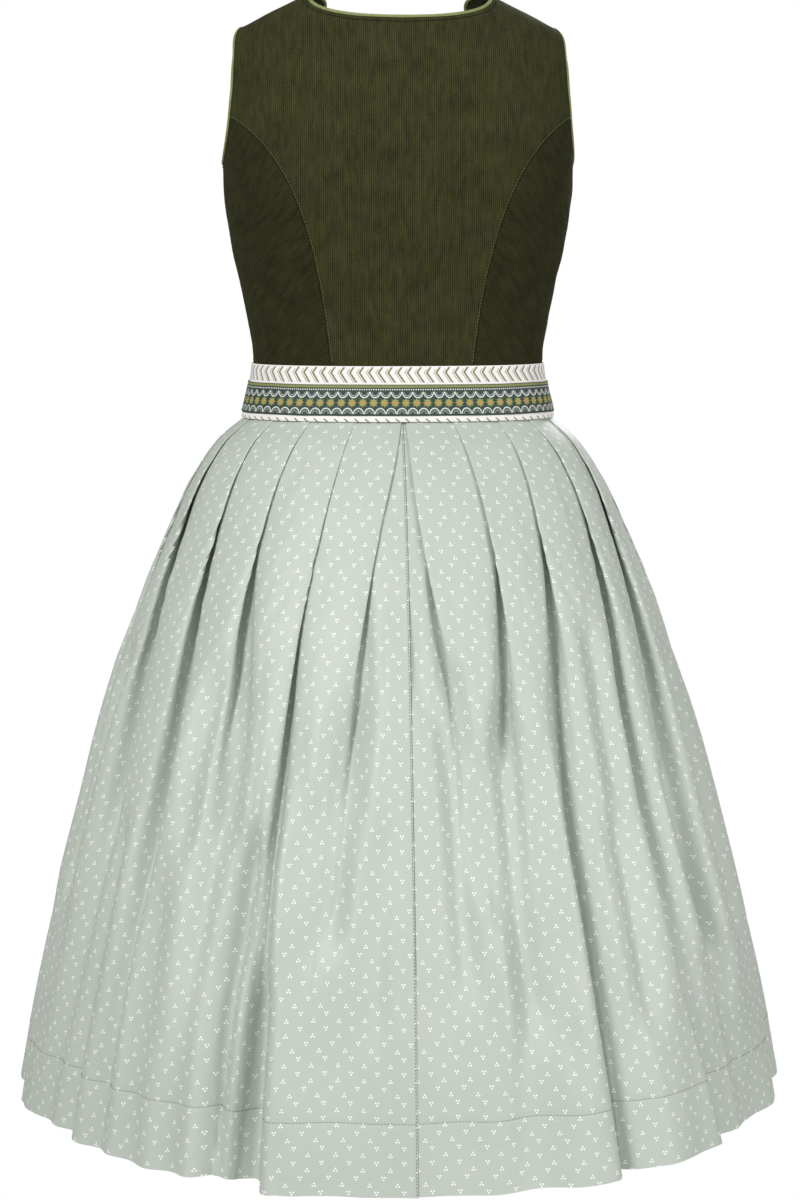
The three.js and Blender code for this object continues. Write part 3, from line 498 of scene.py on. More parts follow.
def make_mesh(name, points, faces, materials, sides=None, coords=None, attributes=None, sharp=50):
    """A mesh object from points in mm, with faces out, cloth coordinates as its UV map, and attributes."""
    points = np.asarray(points, float) / METRE
    faces = np.asarray(faces)
    a, b, c, d = (points[faces[:, k]] for k in range(4))
    volume = (np.cross(a, b) * c).sum() + (np.cross(a, c) * d).sum()
    if volume < 0:
        faces = faces[:, ::-1]
    mesh = bpy.data.meshes.new(name)
    mesh.from_pydata(points.tolist(), [], faces.tolist())
    for material in materials:
        mesh.materials.append(material)
    if sides is not None:
        mesh.polygons.foreach_set("material_index", np.asarray(sides, np.int32))
    corners = faces.reshape(-1)
    if coords is not None:
        layer = mesh.uv_layers.new(name="cloth")
        flat = (np.asarray(coords, float) / METRE)[corners]
        layer.data.foreach_set("uv", flat.astype(np.float32).ravel())
    for key, values in (attributes or {}).items():
        attribute = mesh.attributes.new(key, "FLOAT", "POINT")
        attribute.data.foreach_set("value", np.asarray(values, np.float32).ravel())
    mesh.shade_smooth()
    mesh.set_sharp_from_angle(angle=math.radians(sharp))
    mesh.update()
    piece = bpy.data.objects.new(name, mesh)
    bpy.context.scene.collection.objects.link(piece)
    return piece


def shell(name, outer, inner, coords, materials, attributes=None):
    """A closed sheet of cloth between two grids of points. Its inner side takes the second material."""
    rows, columns = outer.shape[:2]
    count = rows * columns
    index = np.arange(count).reshape(rows, columns)
    front = grid_faces(rows, columns)
    back = grid_faces(rows, columns, count)[:, ::-1]
    edge = np.concatenate([index[0], index[1:, -1], index[-1, -2::-1], index[-2:0:-1, 0]])
    following = np.roll(edge, -1)
    rim = np.stack([following, edge, edge + count, following + count], -1)
    faces = np.concatenate([front, back, rim])
    sides = np.concatenate([np.zeros(len(front)), np.ones(len(back)), np.zeros(len(rim))])
    points = np.concatenate([outer.reshape(-1, 3), inner.reshape(-1, 3)])
    both = np.concatenate([coords.reshape(-1, 2), coords.reshape(-1, 2)])
    values = {key: np.concatenate([v.ravel(), v.ravel()]) for key, v in (attributes or {}).items()}
    return make_mesh(name, points, faces, materials, sides, both, values)


def mirrored(points):
    return points * np.array([-1, 1, 1])


def tube(name, centres, across, up, width, thick, materials, closed, sides=14):
    """A rounded strip along a line of centres. Its cloth coordinates run along it and round it."""
    turn = np.linspace(0, 2 * math.pi, sides, endpoint=False)
    ring = (across[:, None, :] * (np.cos(turn) * width / 2)[None, :, None]
            + up[:, None, :] * (np.sin(turn) * thick / 2)[None, :, None])
    points = centres[:, None, :] + ring
    count = len(centres)
    k = np.arange(sides)
    stretches = count if closed else count - 1
    faces = []
    for i in range(stretches):
        j = (i + 1) % count
        quad = np.stack([i * sides + k, i * sides + (k + 1) % sides,
                         j * sides + (k + 1) % sides, j * sides + k], -1)
        faces.append(quad)
    points = points.reshape(-1, 3)
    if not closed:
        middles = np.stack([centres[0], centres[-1]])
        points = np.concatenate([points, middles])
        for end, middle in ((0, count * sides), ((count - 1) * sides, count * sides + 1)):
            pairs = k[::2]
            cap = np.stack([end + pairs, end + pairs + 1, end + (pairs + 2) % sides,
                            np.full(len(pairs), middle)], -1)
            faces.append(cap if end else cap[:, ::-1])
    steps = np.linalg.norm(np.diff(centres, axis=0), axis=1)
    run = np.concatenate([[0], np.cumsum(steps)])
    coords = np.stack(np.broadcast_arrays(run[:, None], (turn * (width + thick) / 4)[None, :]), -1)
    coords = coords.reshape(-1, 2)
    if not closed:
        coords = np.concatenate([coords, [[0, 0], [run[-1], 0]]])
    return make_mesh(name, points, np.concatenate(faces), materials, coords=coords, sharp=80)


def stitches(name, lines, material, pitch=STITCH_PITCH, length=STITCH_LENGTH, width=STITCH_WIDTH,
             rise=STITCH_RISE):
    """Rows of single stitches, each a thread that comes up out of the cloth and dives back into it.
    Each line is (points, normals) on the cloth's outer side."""
    turn = np.linspace(0, 2 * math.pi, STITCH_SIDES, endpoint=False)
    points, faces = [], []
    start = 0
    for path, normals in lines:
        steps = np.linalg.norm(np.diff(path, axis=0), axis=1)
        run = np.concatenate([[0], np.cumsum(steps)])
        places = np.arange(pitch * 0.6, run[-1] - pitch * 0.5, pitch)
        for place in places:
            here = np.array([np.interp(place, run, path[:, k]) for k in range(3)])
            ahead = np.array([np.interp(place + 0.4, run, path[:, k]) for k in range(3)])
            normal = unit(np.array([np.interp(place, run, normals[:, k]) for k in range(3)]))
            forward = unit(ahead - here)
            side = unit(np.cross(normal, forward))
            for share, height, wide in STITCH_SECTIONS:
                centre = here + forward * share * length + normal * (height * rise)
                radius = width / 2 * wide
                for angle in turn:
                    outward = side * math.cos(angle) * radius + normal * math.sin(angle) * radius
                    points.append(centre + outward)
            for ring in range(len(STITCH_SECTIONS) - 1):
                base = start + ring * STITCH_SIDES
                above = base + STITCH_SIDES
                for k in range(STITCH_SIDES):
                    k1 = (k + 1) % STITCH_SIDES
                    faces.append((base + k, base + k1, above + k1, above + k))
            last = start + (len(STITCH_SECTIONS) - 1) * STITCH_SIDES
            faces += [(start, start + 5, start + 4, start + 3), (start, start + 3, start + 2, start + 1)]
            faces += [(last, last + 1, last + 2, last + 3), (last, last + 3, last + 4, last + 5)]
            start = len(points)
    return make_mesh(name, points, faces, [material], sharp=80)


# ---- Materials: small helpers that turn arithmetic into shader nodes ----

class Value:
    """A number in a shader: a node's output or a constant, with arithmetic that adds Math nodes."""

    def __init__(self, tree, source):
        self.tree = tree
        self.source = source

    def math(self, operation, *others, clamp=False):
        node = self.tree.nodes.new("ShaderNodeMath")
        node.operation = operation
        node.use_clamp = clamp
        for socket, item in zip(node.inputs, (self, *others)):
            source = item.source if isinstance(item, Value) else item
            if isinstance(source, (int, float)):
                socket.default_value = source
            else:
                self.tree.links.new(source, socket)
        return Value(self.tree, node.outputs[0])

    def __add__(self, other):
        return self.math("ADD", other)

    def __sub__(self, other):
        return self.math("SUBTRACT", other)

    def __mul__(self, other):
        return self.math("MULTIPLY", other)

    def __truediv__(self, other):
        return self.math("DIVIDE", other)

    __radd__ = __add__
    __rmul__ = __mul__

    def __rsub__(self, other):
        return Value(self.tree, float(other)).math("SUBTRACT", self)

    def __neg__(self):
        return self * -1.0

    def floor(self):
        return self.math("FLOOR")

    def wrapped(self, period):
        """The remainder after whole periods, from 0 up to the period."""
        return self.math("FLOORED_MODULO", period)

    def centred(self, period):
        """The distance to the middle of the period that the value is in, with its sign."""
        return self.wrapped(period) - period / 2

    def sine(self):
        return self.math("SINE")

    def size(self):
        return self.math("ABSOLUTE")

    def least(self, other):
        return self.math("MINIMUM", other)

    def most(self, other):
        return self.math("MAXIMUM", other)

    def hypot(self, other):
        return (self * self + other * other).math("SQRT")

    def below(self, limit, soft):
        """1 where the value is less than limit, 0 where it is more, over a width of soft."""
        return (limit - self).math("DIVIDE", soft).math("ADD", 0.5, clamp=True)

    def near(self, middle, half, soft):
        return (self - middle).size().below(half, soft)


def new_material(name):
    material = bpy.data.materials.new(name)
    material.use_nodes = True
    tree = material.node_tree
    tree.nodes.clear()
    shader = tree.nodes.new("ShaderNodeBsdfPrincipled")
    output = tree.nodes.new("ShaderNodeOutputMaterial")
    tree.links.new(shader.outputs[0], output.inputs[0])
    return material, tree, shader


def cloth_coords(tree):
    """The cloth coordinates of the surface, in mm."""
    uv = tree.nodes.new("ShaderNodeUVMap")
    uv.uv_map = "cloth"
    split = tree.nodes.new("ShaderNodeSeparateXYZ")
    tree.links.new(uv.outputs[0], split.inputs[0])
    return Value(tree, split.outputs[0]) * METRE, Value(tree, split.outputs[1]) * METRE


def object_coords(tree):
    """The piece's own x and z, in mm."""
    place = tree.nodes.new("ShaderNodeTexCoord")
    split = tree.nodes.new("ShaderNodeSeparateXYZ")
    tree.links.new(place.outputs["Object"], split.inputs[0])
    return Value(tree, split.outputs[0]) * METRE, Value(tree, split.outputs[2]) * METRE


def ribbed(value, pitch):
    """A wave between -1 and 1 that repeats every pitch."""
    return (value * (2 * math.pi / pitch)).sine()


def attribute(tree, name):
    node = tree.nodes.new("ShaderNodeAttribute")
    node.attribute_name = name
    return Value(tree, node.outputs["Fac"])


def noise(tree, x, y, scale, detail=3.0, seed=0.0):
    """Smooth noise, mostly between 0 and 1. scale is in features for each mm."""
    join = tree.nodes.new("ShaderNodeCombineXYZ")
    for socket, value in zip(join.inputs, (x * scale, y * scale)):
        tree.links.new(value.source, socket)
    join.inputs[2].default_value = seed
    node = tree.nodes.new("ShaderNodeTexNoise")
    node.inputs["Scale"].default_value = 1.0
    node.inputs["Detail"].default_value = detail
    tree.links.new(join.outputs[0], node.inputs["Vector"])
    return Value(tree, node.outputs["Fac"])


def linear(colour):
    """sRGB values from 0 to 255, as the linear colour that a shader takes."""
    values = [channel / 255 for channel in colour]
    return [v / 12.92 if v <= 0.04045 else ((v + 0.055) / 1.055) ** 2.4 for v in values] + [1.0]


def mix(tree, share, first, second):
    """first where share is 0 and second where it is 1. Each is an sRGB colour or a node's output."""
    node = tree.nodes.new("ShaderNodeMix")
    node.data_type = "RGBA"
    tree.links.new(share.source, node.inputs["Factor"])
    for socket, colour in zip((node.inputs[6], node.inputs[7]), (first, second)):
        if isinstance(colour, tuple):
            socket.default_value = linear(colour)
        else:
            tree.links.new(colour, socket)
    return node.outputs[2]


def bump(tree, shader, height, distance, strength=1.0):
    """height, from 0 to 1, raises the surface by distance, in mm."""
    node = tree.nodes.new("ShaderNodeBump")
    node.inputs["Strength"].default_value = strength
    node.inputs["Distance"].default_value = distance / METRE
    tree.links.new(height.source, node.inputs["Height"])
    tree.links.new(node.outputs[0], shader.inputs["Normal"])


def finish_cloth(shader, roughness, sheen=0.0, sheen_roughness=0.4, sheen_tint=(255, 255, 255),
                 specular=0.3):
    shader.inputs["Roughness"].default_value = roughness
    shader.inputs["Specular IOR Level"].default_value = specular
    shader.inputs["Sheen Weight"].default_value = sheen
    shader.inputs["Sheen Roughness"].default_value = sheen_roughness
    shader.inputs["Sheen Tint"].default_value = linear(sheen_tint)


# Pitches of wales, weaves and twists.
WALE_PITCH = 2.0
LINING_WEAVE = 0.9
PIPING_TWILL = 0.8
BAND_WEAVE = 0.7
SKIRT_WEAVE = 0.6
RIBBON_WEFT = 0.6
RIBBON_WARP = 0.5
THREAD_TWIST = 0.5

NECK_STRIP = 6.0                  # the turned edge under the neck piping, where its groove is painted as a dark line of shade
SEAM_SHADE_REACH = 0.6


def corduroy(name, dark, light):
    """Fine wales along the cloth, with flecks where the pile lies differently. The wale valleys, the seams
    and the groove beside the neck piping are darkened as painted shade.
    """
    material, tree, shader = new_material(name)
    x, y = cloth_coords(tree)
    drift = (noise(tree, x, y, 0.02, 1.0) - 0.5) * 1.2
    across = (x + drift).centred(WALE_PITCH) * (2 / WALE_PITCH)
    ridge = 1.0 - across * across
    tuft = noise(tree, x, y * 0.45, 1.7, 2.0, 3.0)
    patches = noise(tree, x, y, 0.03, 3.0, 7.0)
    worn = noise(tree, x * 1.6, y * 0.5, 0.12, 3.0, 11.0)
    fleck = noise(tree, x, y, 2.6, 1.0, 17.0)
    # ridge paints the wale valleys darker than the wale tops, as shade; the noises are the pile's own uneven
    # tone.
    tone_and_wale_shade = ridge * 0.5 + (tuft - 0.5) * 1.2 + (fleck - 0.5) * 0.9
    tone_and_wale_shade = tone_and_wale_shade + (patches - 0.5) * 0.4 + (worn - 0.5) * 0.7 + 0.16
    seam_shade = attribute(tree, "seam").below(SEAM_SHADE_REACH, 1.2) * 0.4
    # strip: a dark line NECK_STRIP from the neck piping, painted shade in the groove of the turned edge.
    strip = attribute(tree, "neck").near(NECK_STRIP, 0.45, 0.5)
    share = (tone_and_wale_shade - seam_shade - strip * 0.6).math("ADD", 0.0, clamp=True)
    colour = mix(tree, share, dark, light)
    tree.links.new(colour, shader.inputs["Base Color"])
    height = ridge * 0.8 + tuft * 0.3 - strip * 1.0 - seam_shade * 0.8
    bump(tree, shader, height, 0.45, 0.8)
    finish_cloth(shader, 0.95, 0.07, 0.5, (150, 155, 110), 0.1)
    return material


def corduroy_wrong_side():
    material, tree, shader = new_material("corduroy_wrong_side")
    x, y = cloth_coords(tree)
    weave = ribbed(x, LINING_WEAVE) * ribbed(y, LINING_WEAVE)
    patches = noise(tree, x, y, 0.05)
    share = (weave * 0.18 + patches).math("ADD", 0.0, clamp=True)
    tree.links.new(mix(tree, share, (34, 34, 20), (66, 67, 44)), shader.inputs["Base Color"])
    bump(tree, shader, weave, 0.1, 0.5)
    finish_cloth(shader, 0.9, specular=0.2)
    return material


def piping_cloth():
    material, tree, shader = new_material("piping")
    x, y = cloth_coords(tree)
    twill = ribbed(x + y, PIPING_TWILL)
    tone = noise(tree, x, y, 0.2)
    share = (twill * 0.15 + tone).math("ADD", 0.0, clamp=True)
    tree.links.new(mix(tree, share, (112, 122, 66), (152, 160, 102)), shader.inputs["Base Color"])
    bump(tree, shader, twill, 0.08, 0.6)
    finish_cloth(shader, 0.55, 0.1, 0.3, (220, 225, 180), 0.4)
    return material


def thread(name, dark, light):
    material, tree, shader = new_material(name)
    x, z = object_coords(tree)
    twist = ribbed(x + z, THREAD_TWIST) * 0.5 + 0.5
    tree.links.new(mix(tree, twist, dark, light), shader.inputs["Base Color"])
    finish_cloth(shader, 0.6, specular=0.3)
    return material


# The waistband's printed pattern: pitches along it, and heights measured down from its top edge.
CHEVRON_PITCH = 9.1
CHEVRON_START = 0.9
CHEVRON_MIDDLE = 6.0
CHEVRON_END = 15.2
CHEVRON_LEAN = 0.7
CHEVRON_HALF = 1.05
HAIRLINE_SHIFT = 2.6              # a thin line beside each chevron
HAIRLINE_START = 2.5
HAIRLINE_HALF = 0.35
DASH_PITCH = 9.3
DASH_MIDDLE = 50.3
DASH_LEAN = 1.1
DASH_HALF = 0.95


def band_cloth():
    """White cotton with an olive chevron above the ribbon and slanting dashes below it."""
    material, tree, shader = new_material("waistband")
    x, y = cloth_coords(tree)
    down = -y
    lean = (down - CHEVRON_MIDDLE).size() * -CHEVRON_LEAN
    above_end = down.below(CHEVRON_END, 0.4)
    chevron = (x + lean).centred(CHEVRON_PITCH).size().below(CHEVRON_HALF, 0.35)
    printed = chevron * above_end * (1.0 - down.below(CHEVRON_START, 0.3))
    hairline = (x + lean + HAIRLINE_SHIFT).centred(CHEVRON_PITCH).size().below(HAIRLINE_HALF, 0.3)
    printed = printed.most(hairline * above_end * (1.0 - down.below(HAIRLINE_START, 0.3)))
    slanted = x - (down - DASH_MIDDLE) * DASH_LEAN
    dashes = slanted.centred(DASH_PITCH).size().below(DASH_HALF, 0.35)
    printed = printed.most(dashes * down.near(DASH_MIDDLE, 1.7, 0.4))
    uneven = noise(tree, x, y, 0.9, 2.0)
    ink = (printed * (0.55 + uneven * 0.75)).math("ADD", 0.0, clamp=True)
    tone = noise(tree, x, y, 0.06, 2.0, 5.0)
    ground = mix(tree, tone, (232, 229, 226), (244, 242, 240))
    tree.links.new(mix(tree, ink, ground, (112, 112, 62)), shader.inputs["Base Color"])
    weave = ribbed(x, BAND_WEAVE) * ribbed(y, BAND_WEAVE)
    bump(tree, shader, weave, 0.05, 0.5)
    finish_cloth(shader, 0.85, specular=0.25)
    return material


# The ribbon's woven pattern: heights measured down from its top edge, and radii.
MOTIF_PITCH = 10.0
OLIVE_EDGE = 1.6
DOT_LINE = 4.6
DOT_LINE_PITCH = 2.2
SCALLOP_TOP = 6.7
SCALLOP_RADIUS = 4.6
FRINGE_RADIUS = 3.1
STAR_MIDDLE = 16.9
STAR_SHIFT = 1.3
STAR_RADIUS = 3.1
STAR_SWING = 0.62                 # how far its petals reach past that radius
STAR_GROWTH = 1.12
STAR_HEART = 1.1
ARCH_FOOT = 27.2
ARCH_RADIUS = 4.5
FAN_RADIUS = 2.5
MOTIF_SQUASH = 0.86


def ribbon_cloth():
    """A woven ribbon: an olive edge, a dotted line, hanging scallops, eight-petalled stars and arches."""
    material, tree, shader = new_material("ribbon")
    x, y = cloth_coords(tree)
    down = -y
    dark = mix(tree, noise(tree, x, y, 0.5), (42, 56, 52), (60, 74, 68))
    edge = down.near(OLIVE_EDGE, 1.15, 0.3)
    colour = mix(tree, edge, dark, (134, 140, 82))
    dots = x.centred(DOT_LINE_PITCH).hypot(down - DOT_LINE).below(0.62, 0.35)
    scallop = x.centred(MOTIF_PITCH).hypot((down - SCALLOP_TOP) * MOTIF_SQUASH)
    hanging = scallop.near(SCALLOP_RADIUS, 0.42, 0.35) * (1.0 - down.below(SCALLOP_TOP, 0.4))
    fringe = scallop.near(FRINGE_RADIUS, 0.26, 0.3) * (1.0 - down.below(SCALLOP_TOP + 0.5, 0.4)) * 0.6
    between = (x + MOTIF_PITCH / 2).centred(MOTIF_PITCH)
    arch = between.hypot((down - ARCH_FOOT) * MOTIF_SQUASH)
    above_foot = down.below(ARCH_FOOT, 0.4)
    risen = arch.near(ARCH_RADIUS, 0.42, 0.35) * above_foot
    turn = between.math("ARCTAN2", ARCH_FOOT + 0.2 - down)
    rays = (turn * 7.0).sine().size().below(0.4, 0.5)
    fan = rays * arch.near(FAN_RADIUS, 0.9, 0.4) * above_foot * 0.7
    white = dots.most(hanging).most(fringe).most(risen).most(fan)
    colour = mix(tree, white, colour, (226, 232, 224))
    star_x = (x + STAR_SHIFT).centred(MOTIF_PITCH)
    star_y = down - STAR_MIDDLE
    radius = star_x.hypot(star_y)
    petal = (star_x.math("ARCTAN2", star_y) * 8.0).math("COSINE") * STAR_SWING + STAR_RADIUS
    star = (radius - petal * STAR_GROWTH).below(0.0, 0.45)
    petals = mix(tree, radius.below(2.2, 1.0), (140, 148, 84), (168, 158, 88))
    colour = mix(tree, star, colour, petals)
    colour = mix(tree, radius.below(STAR_HEART, 0.6), colour, (206, 122, 78))
    tree.links.new(colour, shader.inputs["Base Color"])
    rib = ribbed(y, RIBBON_WEFT) * 0.5 + ribbed(x, RIBBON_WARP) * 0.5
    bump(tree, shader, rib * 0.3 + white * 0.7 + star * 0.7, 0.18, 0.7)
    finish_cloth(shader, 0.6, 0.05, 0.3, (255, 255, 255), 0.35)
    return material


DOT_RADIUS = 0.74
DOT_SPREAD = 1.3                  # how far the dots of a group stand from its middle
COLUMN_PITCH = 12.4
ROW_PITCH = 12.9
ROW_SHIFT = 6.4                   # how far every third row is moved sideways


def dot_group(x, y, points_down):
    """Three dots in a small triangle."""
    sign = -1.0 if points_down else 1.0
    top = x.hypot(y - sign * DOT_SPREAD)
    left = (x + DOT_SPREAD * 0.95).hypot(y + sign * DOT_SPREAD * 0.62)
    right = (x - DOT_SPREAD * 0.95).hypot(y + sign * DOT_SPREAD * 0.62)
    return top.least(left).least(right).below(DOT_RADIUS, 0.3)


def dot_print(x, y):
    """Columns of three-dot groups that point up and down by turns. Every third row is set sideways."""
    rows = y / ROW_PITCH
    third = (rows.floor().wrapped(3.0)).below(0.5, 0.1)
    moved = x + third * ROW_SHIFT
    down_group = dot_group(moved.centred(2 * COLUMN_PITCH), y.centred(ROW_PITCH), True)
    lower = y + ROW_PITCH / 2
    lower_third = ((lower / ROW_PITCH).floor().wrapped(3.0)).below(0.5, 0.1)
    lower_moved = x + lower_third * ROW_SHIFT + COLUMN_PITCH
    up_group = dot_group(lower_moved.centred(2 * COLUMN_PITCH), lower.centred(ROW_PITCH), False)
    return down_group.most(up_group)


FADED_PRINT = 0.3                 # how much of the print shows through on the wrong side


def skirt_cloth(name, faded):
    """Printed cotton, with a dark line where "edge" is near 0, at the centre seams."""
    material, tree, shader = new_material(name)
    x, y = cloth_coords(tree)
    tone = noise(tree, x, y, 0.012, 2.0)
    ground = mix(tree, tone, (184, 193, 182), (195, 202, 193))
    printed = dot_print(x, y) * (FADED_PRINT if faded else 1.0)
    seam = attribute(tree, "edge").below(0.45, 0.5) * 0.6
    inked = mix(tree, printed, ground, (255, 255, 255))
    tree.links.new(mix(tree, seam, inked, (96, 104, 88)), shader.inputs["Base Color"])
    weave = ribbed(x, SKIRT_WEAVE) * ribbed(y, SKIRT_WEAVE)
    slub = noise(tree, x * 0.1, y, 0.8, 2.0)
    bump(tree, shader, weave * 0.5 + slub, 0.05, 0.5)
    finish_cloth(shader, 0.5, 0.1, 0.4, (255, 255, 255), 0.4)
    return material


def button_horn():
    material, tree, shader = new_material("button")
    x, z = object_coords(tree)
    streak = noise(tree, x, z * 0.3, 0.8, 4.0)
    tree.links.new(mix(tree, streak, (34, 26, 18), (104, 84, 58)), shader.inputs["Base Color"])
    bump(tree, shader, streak, 0.05, 0.3)
    finish_cloth(shader, 0.35, specular=0.5)
    return material


CORDUROY = corduroy("corduroy", (18, 18, 8), (74, 74, 44))
# A darker copy of the corduroy for the side panels: painted shade on the sides of the bodice.
CORDUROY_SHADED_SIDE = corduroy("corduroy_shaded_side", (10, 10, 3), (62, 61, 36))
CORDUROY_BACK = corduroy_wrong_side()
PIPING = piping_cloth()
BAND = band_cloth()
RIBBON = ribbon_cloth()
SKIRT_FACE = skirt_cloth("skirt_cloth", False)
SKIRT_WRONG_SIDE = skirt_cloth("skirt_cloth_wrong_side", True)
BUTTON = button_horn()
SEAM_THREAD = thread("seam_thread", (98, 100, 68), (132, 134, 98))
DARK_THREAD = thread("dark_thread", (26, 27, 16), (44, 45, 30))
SKIRT_THREAD = thread("skirt_thread", (104, 112, 92), (132, 140, 120))


# ---- Bodice ----

def even(count, close=(0.0, 0.004, 0.01, 0.02, 0.036)):
    """Shares from 0 to 1 that stand closer together beside both ends."""
    middle = np.linspace(0.06, 0.94, count)
    return np.unique(np.concatenate([close, middle, 1 - np.array(close)]))


def left_seams():
    """The sewn lines of the left half, as points on the figure."""
    share = np.linspace(0, 1, 160)
    quarter = math.pi / 2
    return [
        on_figure(*back_seam(share)),
        on_figure(*front_seam(share)),
        on_figure(*straight((quarter, WAIST_Z), (quarter, ARMHOLE_BOTTOM))(share)),
        on_figure(*straight((quarter, 0), armhole(0.0))(share)),
    ]


def distance_to(points, lines):
    flat = points.reshape(-1, 3)
    best = np.full(len(flat), 1e3)
    for line in lines:
        for chunk in np.array_split(line, 4):
            gaps = np.linalg.norm(flat[:, None, :] - chunk[None], axis=-1).min(1)
            best = np.minimum(best, gaps)
    return best.reshape(points.shape[:-1])


SEAMS = left_seams()

# Soft creases of the bodice: where each starts and ends in cloth coordinates, its depth and half
# width, in mm. They run up from the waist, across the back below the shoulder blades, and beside
# the armholes.
BODICE_CREASES = [
    {"start": (18, -343), "end": (34, -268), "depth": 0.9, "width": 7},
    {"start": (58, -345), "end": (66, -292), "depth": 1.0, "width": 6},
    {"start": (96, -344), "end": (88, -280), "depth": 0.9, "width": 7},
    {"start": (122, -330), "end": (150, -306), "depth": 1.1, "width": 6},
    {"start": (112, -300), "end": (150, -268), "depth": 0.9, "width": 7},
    {"start": (70, -120), "end": (118, -84), "depth": 0.8, "width": 10},
    {"start": (132, -152), "end": (158, -176), "depth": 1.0, "width": 8},
    {"start": (10, -60), "end": (64, -48), "depth": 0.6, "width": 9},
    {"start": (225, -340), "end": (236, -282), "depth": 0.9, "width": 7},
    {"start": (262, -344), "end": (252, -296), "depth": 1.0, "width": 7},
    {"start": (300, -150), "end": (276, -118), "depth": 0.9, "width": 9},
]


def creases(coords, rows):
    """How far the cloth sinks at each place, summed over the creases."""
    sunk = np.zeros(coords.shape[:-1])
    for row in rows:
        start = np.array(row["start"], float)
        step = np.array(row["end"], float) - start
        share = np.clip(((coords - start) @ step) / (step @ step), 0, 1)
        gap = np.linalg.norm(coords - (start + share[..., None] * step), axis=-1)
        swell = np.sin(np.pi * np.clip(share, 0.12, 0.88)) ** 0.5
        sunk += row["depth"] * swell * np.exp(-(gap / row["width"]) ** 2)
    return sunk


def waves(first, second, lengths, seed):
    """Smooth uneven waves between -1 and 1, over two coordinates with a typical length for each."""
    draw = np.random.default_rng(seed)
    total = np.zeros(np.broadcast(first, second).shape)
    for _ in range(6):
        turn_1, turn_2 = draw.uniform(0.6, 1.6, 2) * 2 * math.pi
        total += np.sin(first / lengths[0] * turn_1 + second / lengths[1] * turn_2 * draw.choice([-1, 1])
                        + draw.uniform(0, 2 * math.pi))
    return total / 6


SEAM_SINK, SEAM_SINK_REACH = 0.8, 1.5
WAIST_SINK, WAIST_SINK_REACH = 0.6, 2.5
PUCKER_HEIGHT, PUCKER_REACH, PUCKER_LENGTHS = 0.35, 7, (13, 11)
SWELL_HEIGHT, SWELL_LENGTHS = 0.7, (70, 60)
NOT_AT_NECK = 60                  # keeps the painted groove shade beside the neck piping off the other panels


def lap_share(x):
    """1 within twice LAP of the centre front, falling to 0 at LAP_BLEND from it."""
    return smoothstep(LAP_BLEND - np.abs(x), 0, LAP_BLEND - 2 * LAP)


def panel(name, node, shape, shares, rises, grain=0.0, lift=None, hand=1, whole=False, seed=1,
          cloth=None):
    """A bodice panel: a thin shell over the figure, drawn in at its seams. grain turns the wale, in
    degrees, and whole adds the mirrored half to a panel with no centre seam."""
    angle, z = patch(*shape, shares, rises)
    base = on_figure(angle, z)
    normal = figure_normal(angle, z)
    base, (arm, front_neck, back_neck) = clear_of_piping(base)
    coords = cloth_place(angle, z)
    seam_gap = distance_to(base, SEAMS)
    sink = SEAM_SINK * np.exp(-(seam_gap / SEAM_SINK_REACH) ** 2)
    sink = sink + WAIST_SINK * np.exp(-((z - WAIST_Z) / WAIST_SINK_REACH) ** 2)
    pucker = waves(coords[..., 0], coords[..., 1], PUCKER_LENGTHS, seed + 40)
    pucker = pucker * np.exp(-seam_gap / PUCKER_REACH) * PUCKER_HEIGHT
    swell = waves(coords[..., 0], coords[..., 1], SWELL_LENGTHS, seed) * SWELL_HEIGHT
    raised = pucker + swell - sink - creases(coords, BODICE_CREASES)
    if lift is not None:
        raised = raised + lift * lap_share(base[..., 0])
    outer = base + normal * raised[..., None]
    inner = outer - normal * PANEL_CLOTH
    turn = math.radians(grain)
    flat = np.stack([
        coords[..., 0] * math.cos(turn) - coords[..., 1] * math.sin(turn),
        coords[..., 0] * math.sin(turn) + coords[..., 1] * math.cos(turn),
    ], -1)
    neck = np.minimum(front_neck, back_neck)
    if "back" not in name:
        neck = neck + NOT_AT_NECK
    parts = [outer, inner, flat, seam_gap, neck, arm]
    if whole:
        flip = [mirrored(outer), mirrored(inner), flat * np.array([-1, 1]), seam_gap, neck, arm]
        parts = [np.concatenate([b[:, :0:-1], a], axis=1) for a, b in zip(parts, flip)]
    elif hand < 0:
        parts = [mirrored(outer), mirrored(inner), *parts[2:]]
    outer, inner, flat, seam_gap, neck, arm = parts
    piece = shell(name, outer, inner, flat, [cloth or CORDUROY, CORDUROY_BACK],
                  {"seam": seam_gap, "neck": neck, "arm": arm})
    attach(piece, "root")
    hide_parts(node)
    return piece


QUARTER = math.pi / 2


def back_panel():
    tip = armhole(0.0)
    top_centre = back_neckline(0.0)
    shape = (
        by_length(straight((0.0, WAIST_Z), back_seam(0.0))),
        by_length(back_neckline),
        straight((0.0, WAIST_Z), top_centre),
        chain([back_seam, part_of(armhole, BACK_SEAM_END, 0), straight(tip, (QUARTER, 0.0))], [0.6, 0.82]),
    )
    shares = np.unique(np.concatenate([np.linspace(0, 0.95, 44), [0.965, 0.98, 0.99, 0.996, 1]]))
    piece = panel("back_panel", "bodice_back", shape, shares, even(92), whole=True, seed=3)


def side_panel(facing, side):
    line, end = (back_seam, BACK_SEAM_END) if facing == "back" else (front_seam, FRONT_SEAM_END)
    foot, head = (QUARTER, WAIST_Z), (QUARTER, ARMHOLE_BOTTOM)
    shape = (
        by_length(straight(line(0.0), foot)),
        by_length(part_of(armhole, end, 0.5)),
        by_length(line),
        straight(foot, head),
    )
    hand = 1 if side == "left" else -1
    grain = -40 if facing == "back" else 40
    name = f"side_{facing}_panel_{side}"
    # The side panels take the darker copy of the corduroy, painted shade.
    piece = panel(name, f"bodice_side_{facing}_{side}", shape, even(34), even(60), grain=grain, hand=hand,
                  seed=5 if side == "left" else 9, cloth=CORDUROY_SHADED_SIDE)


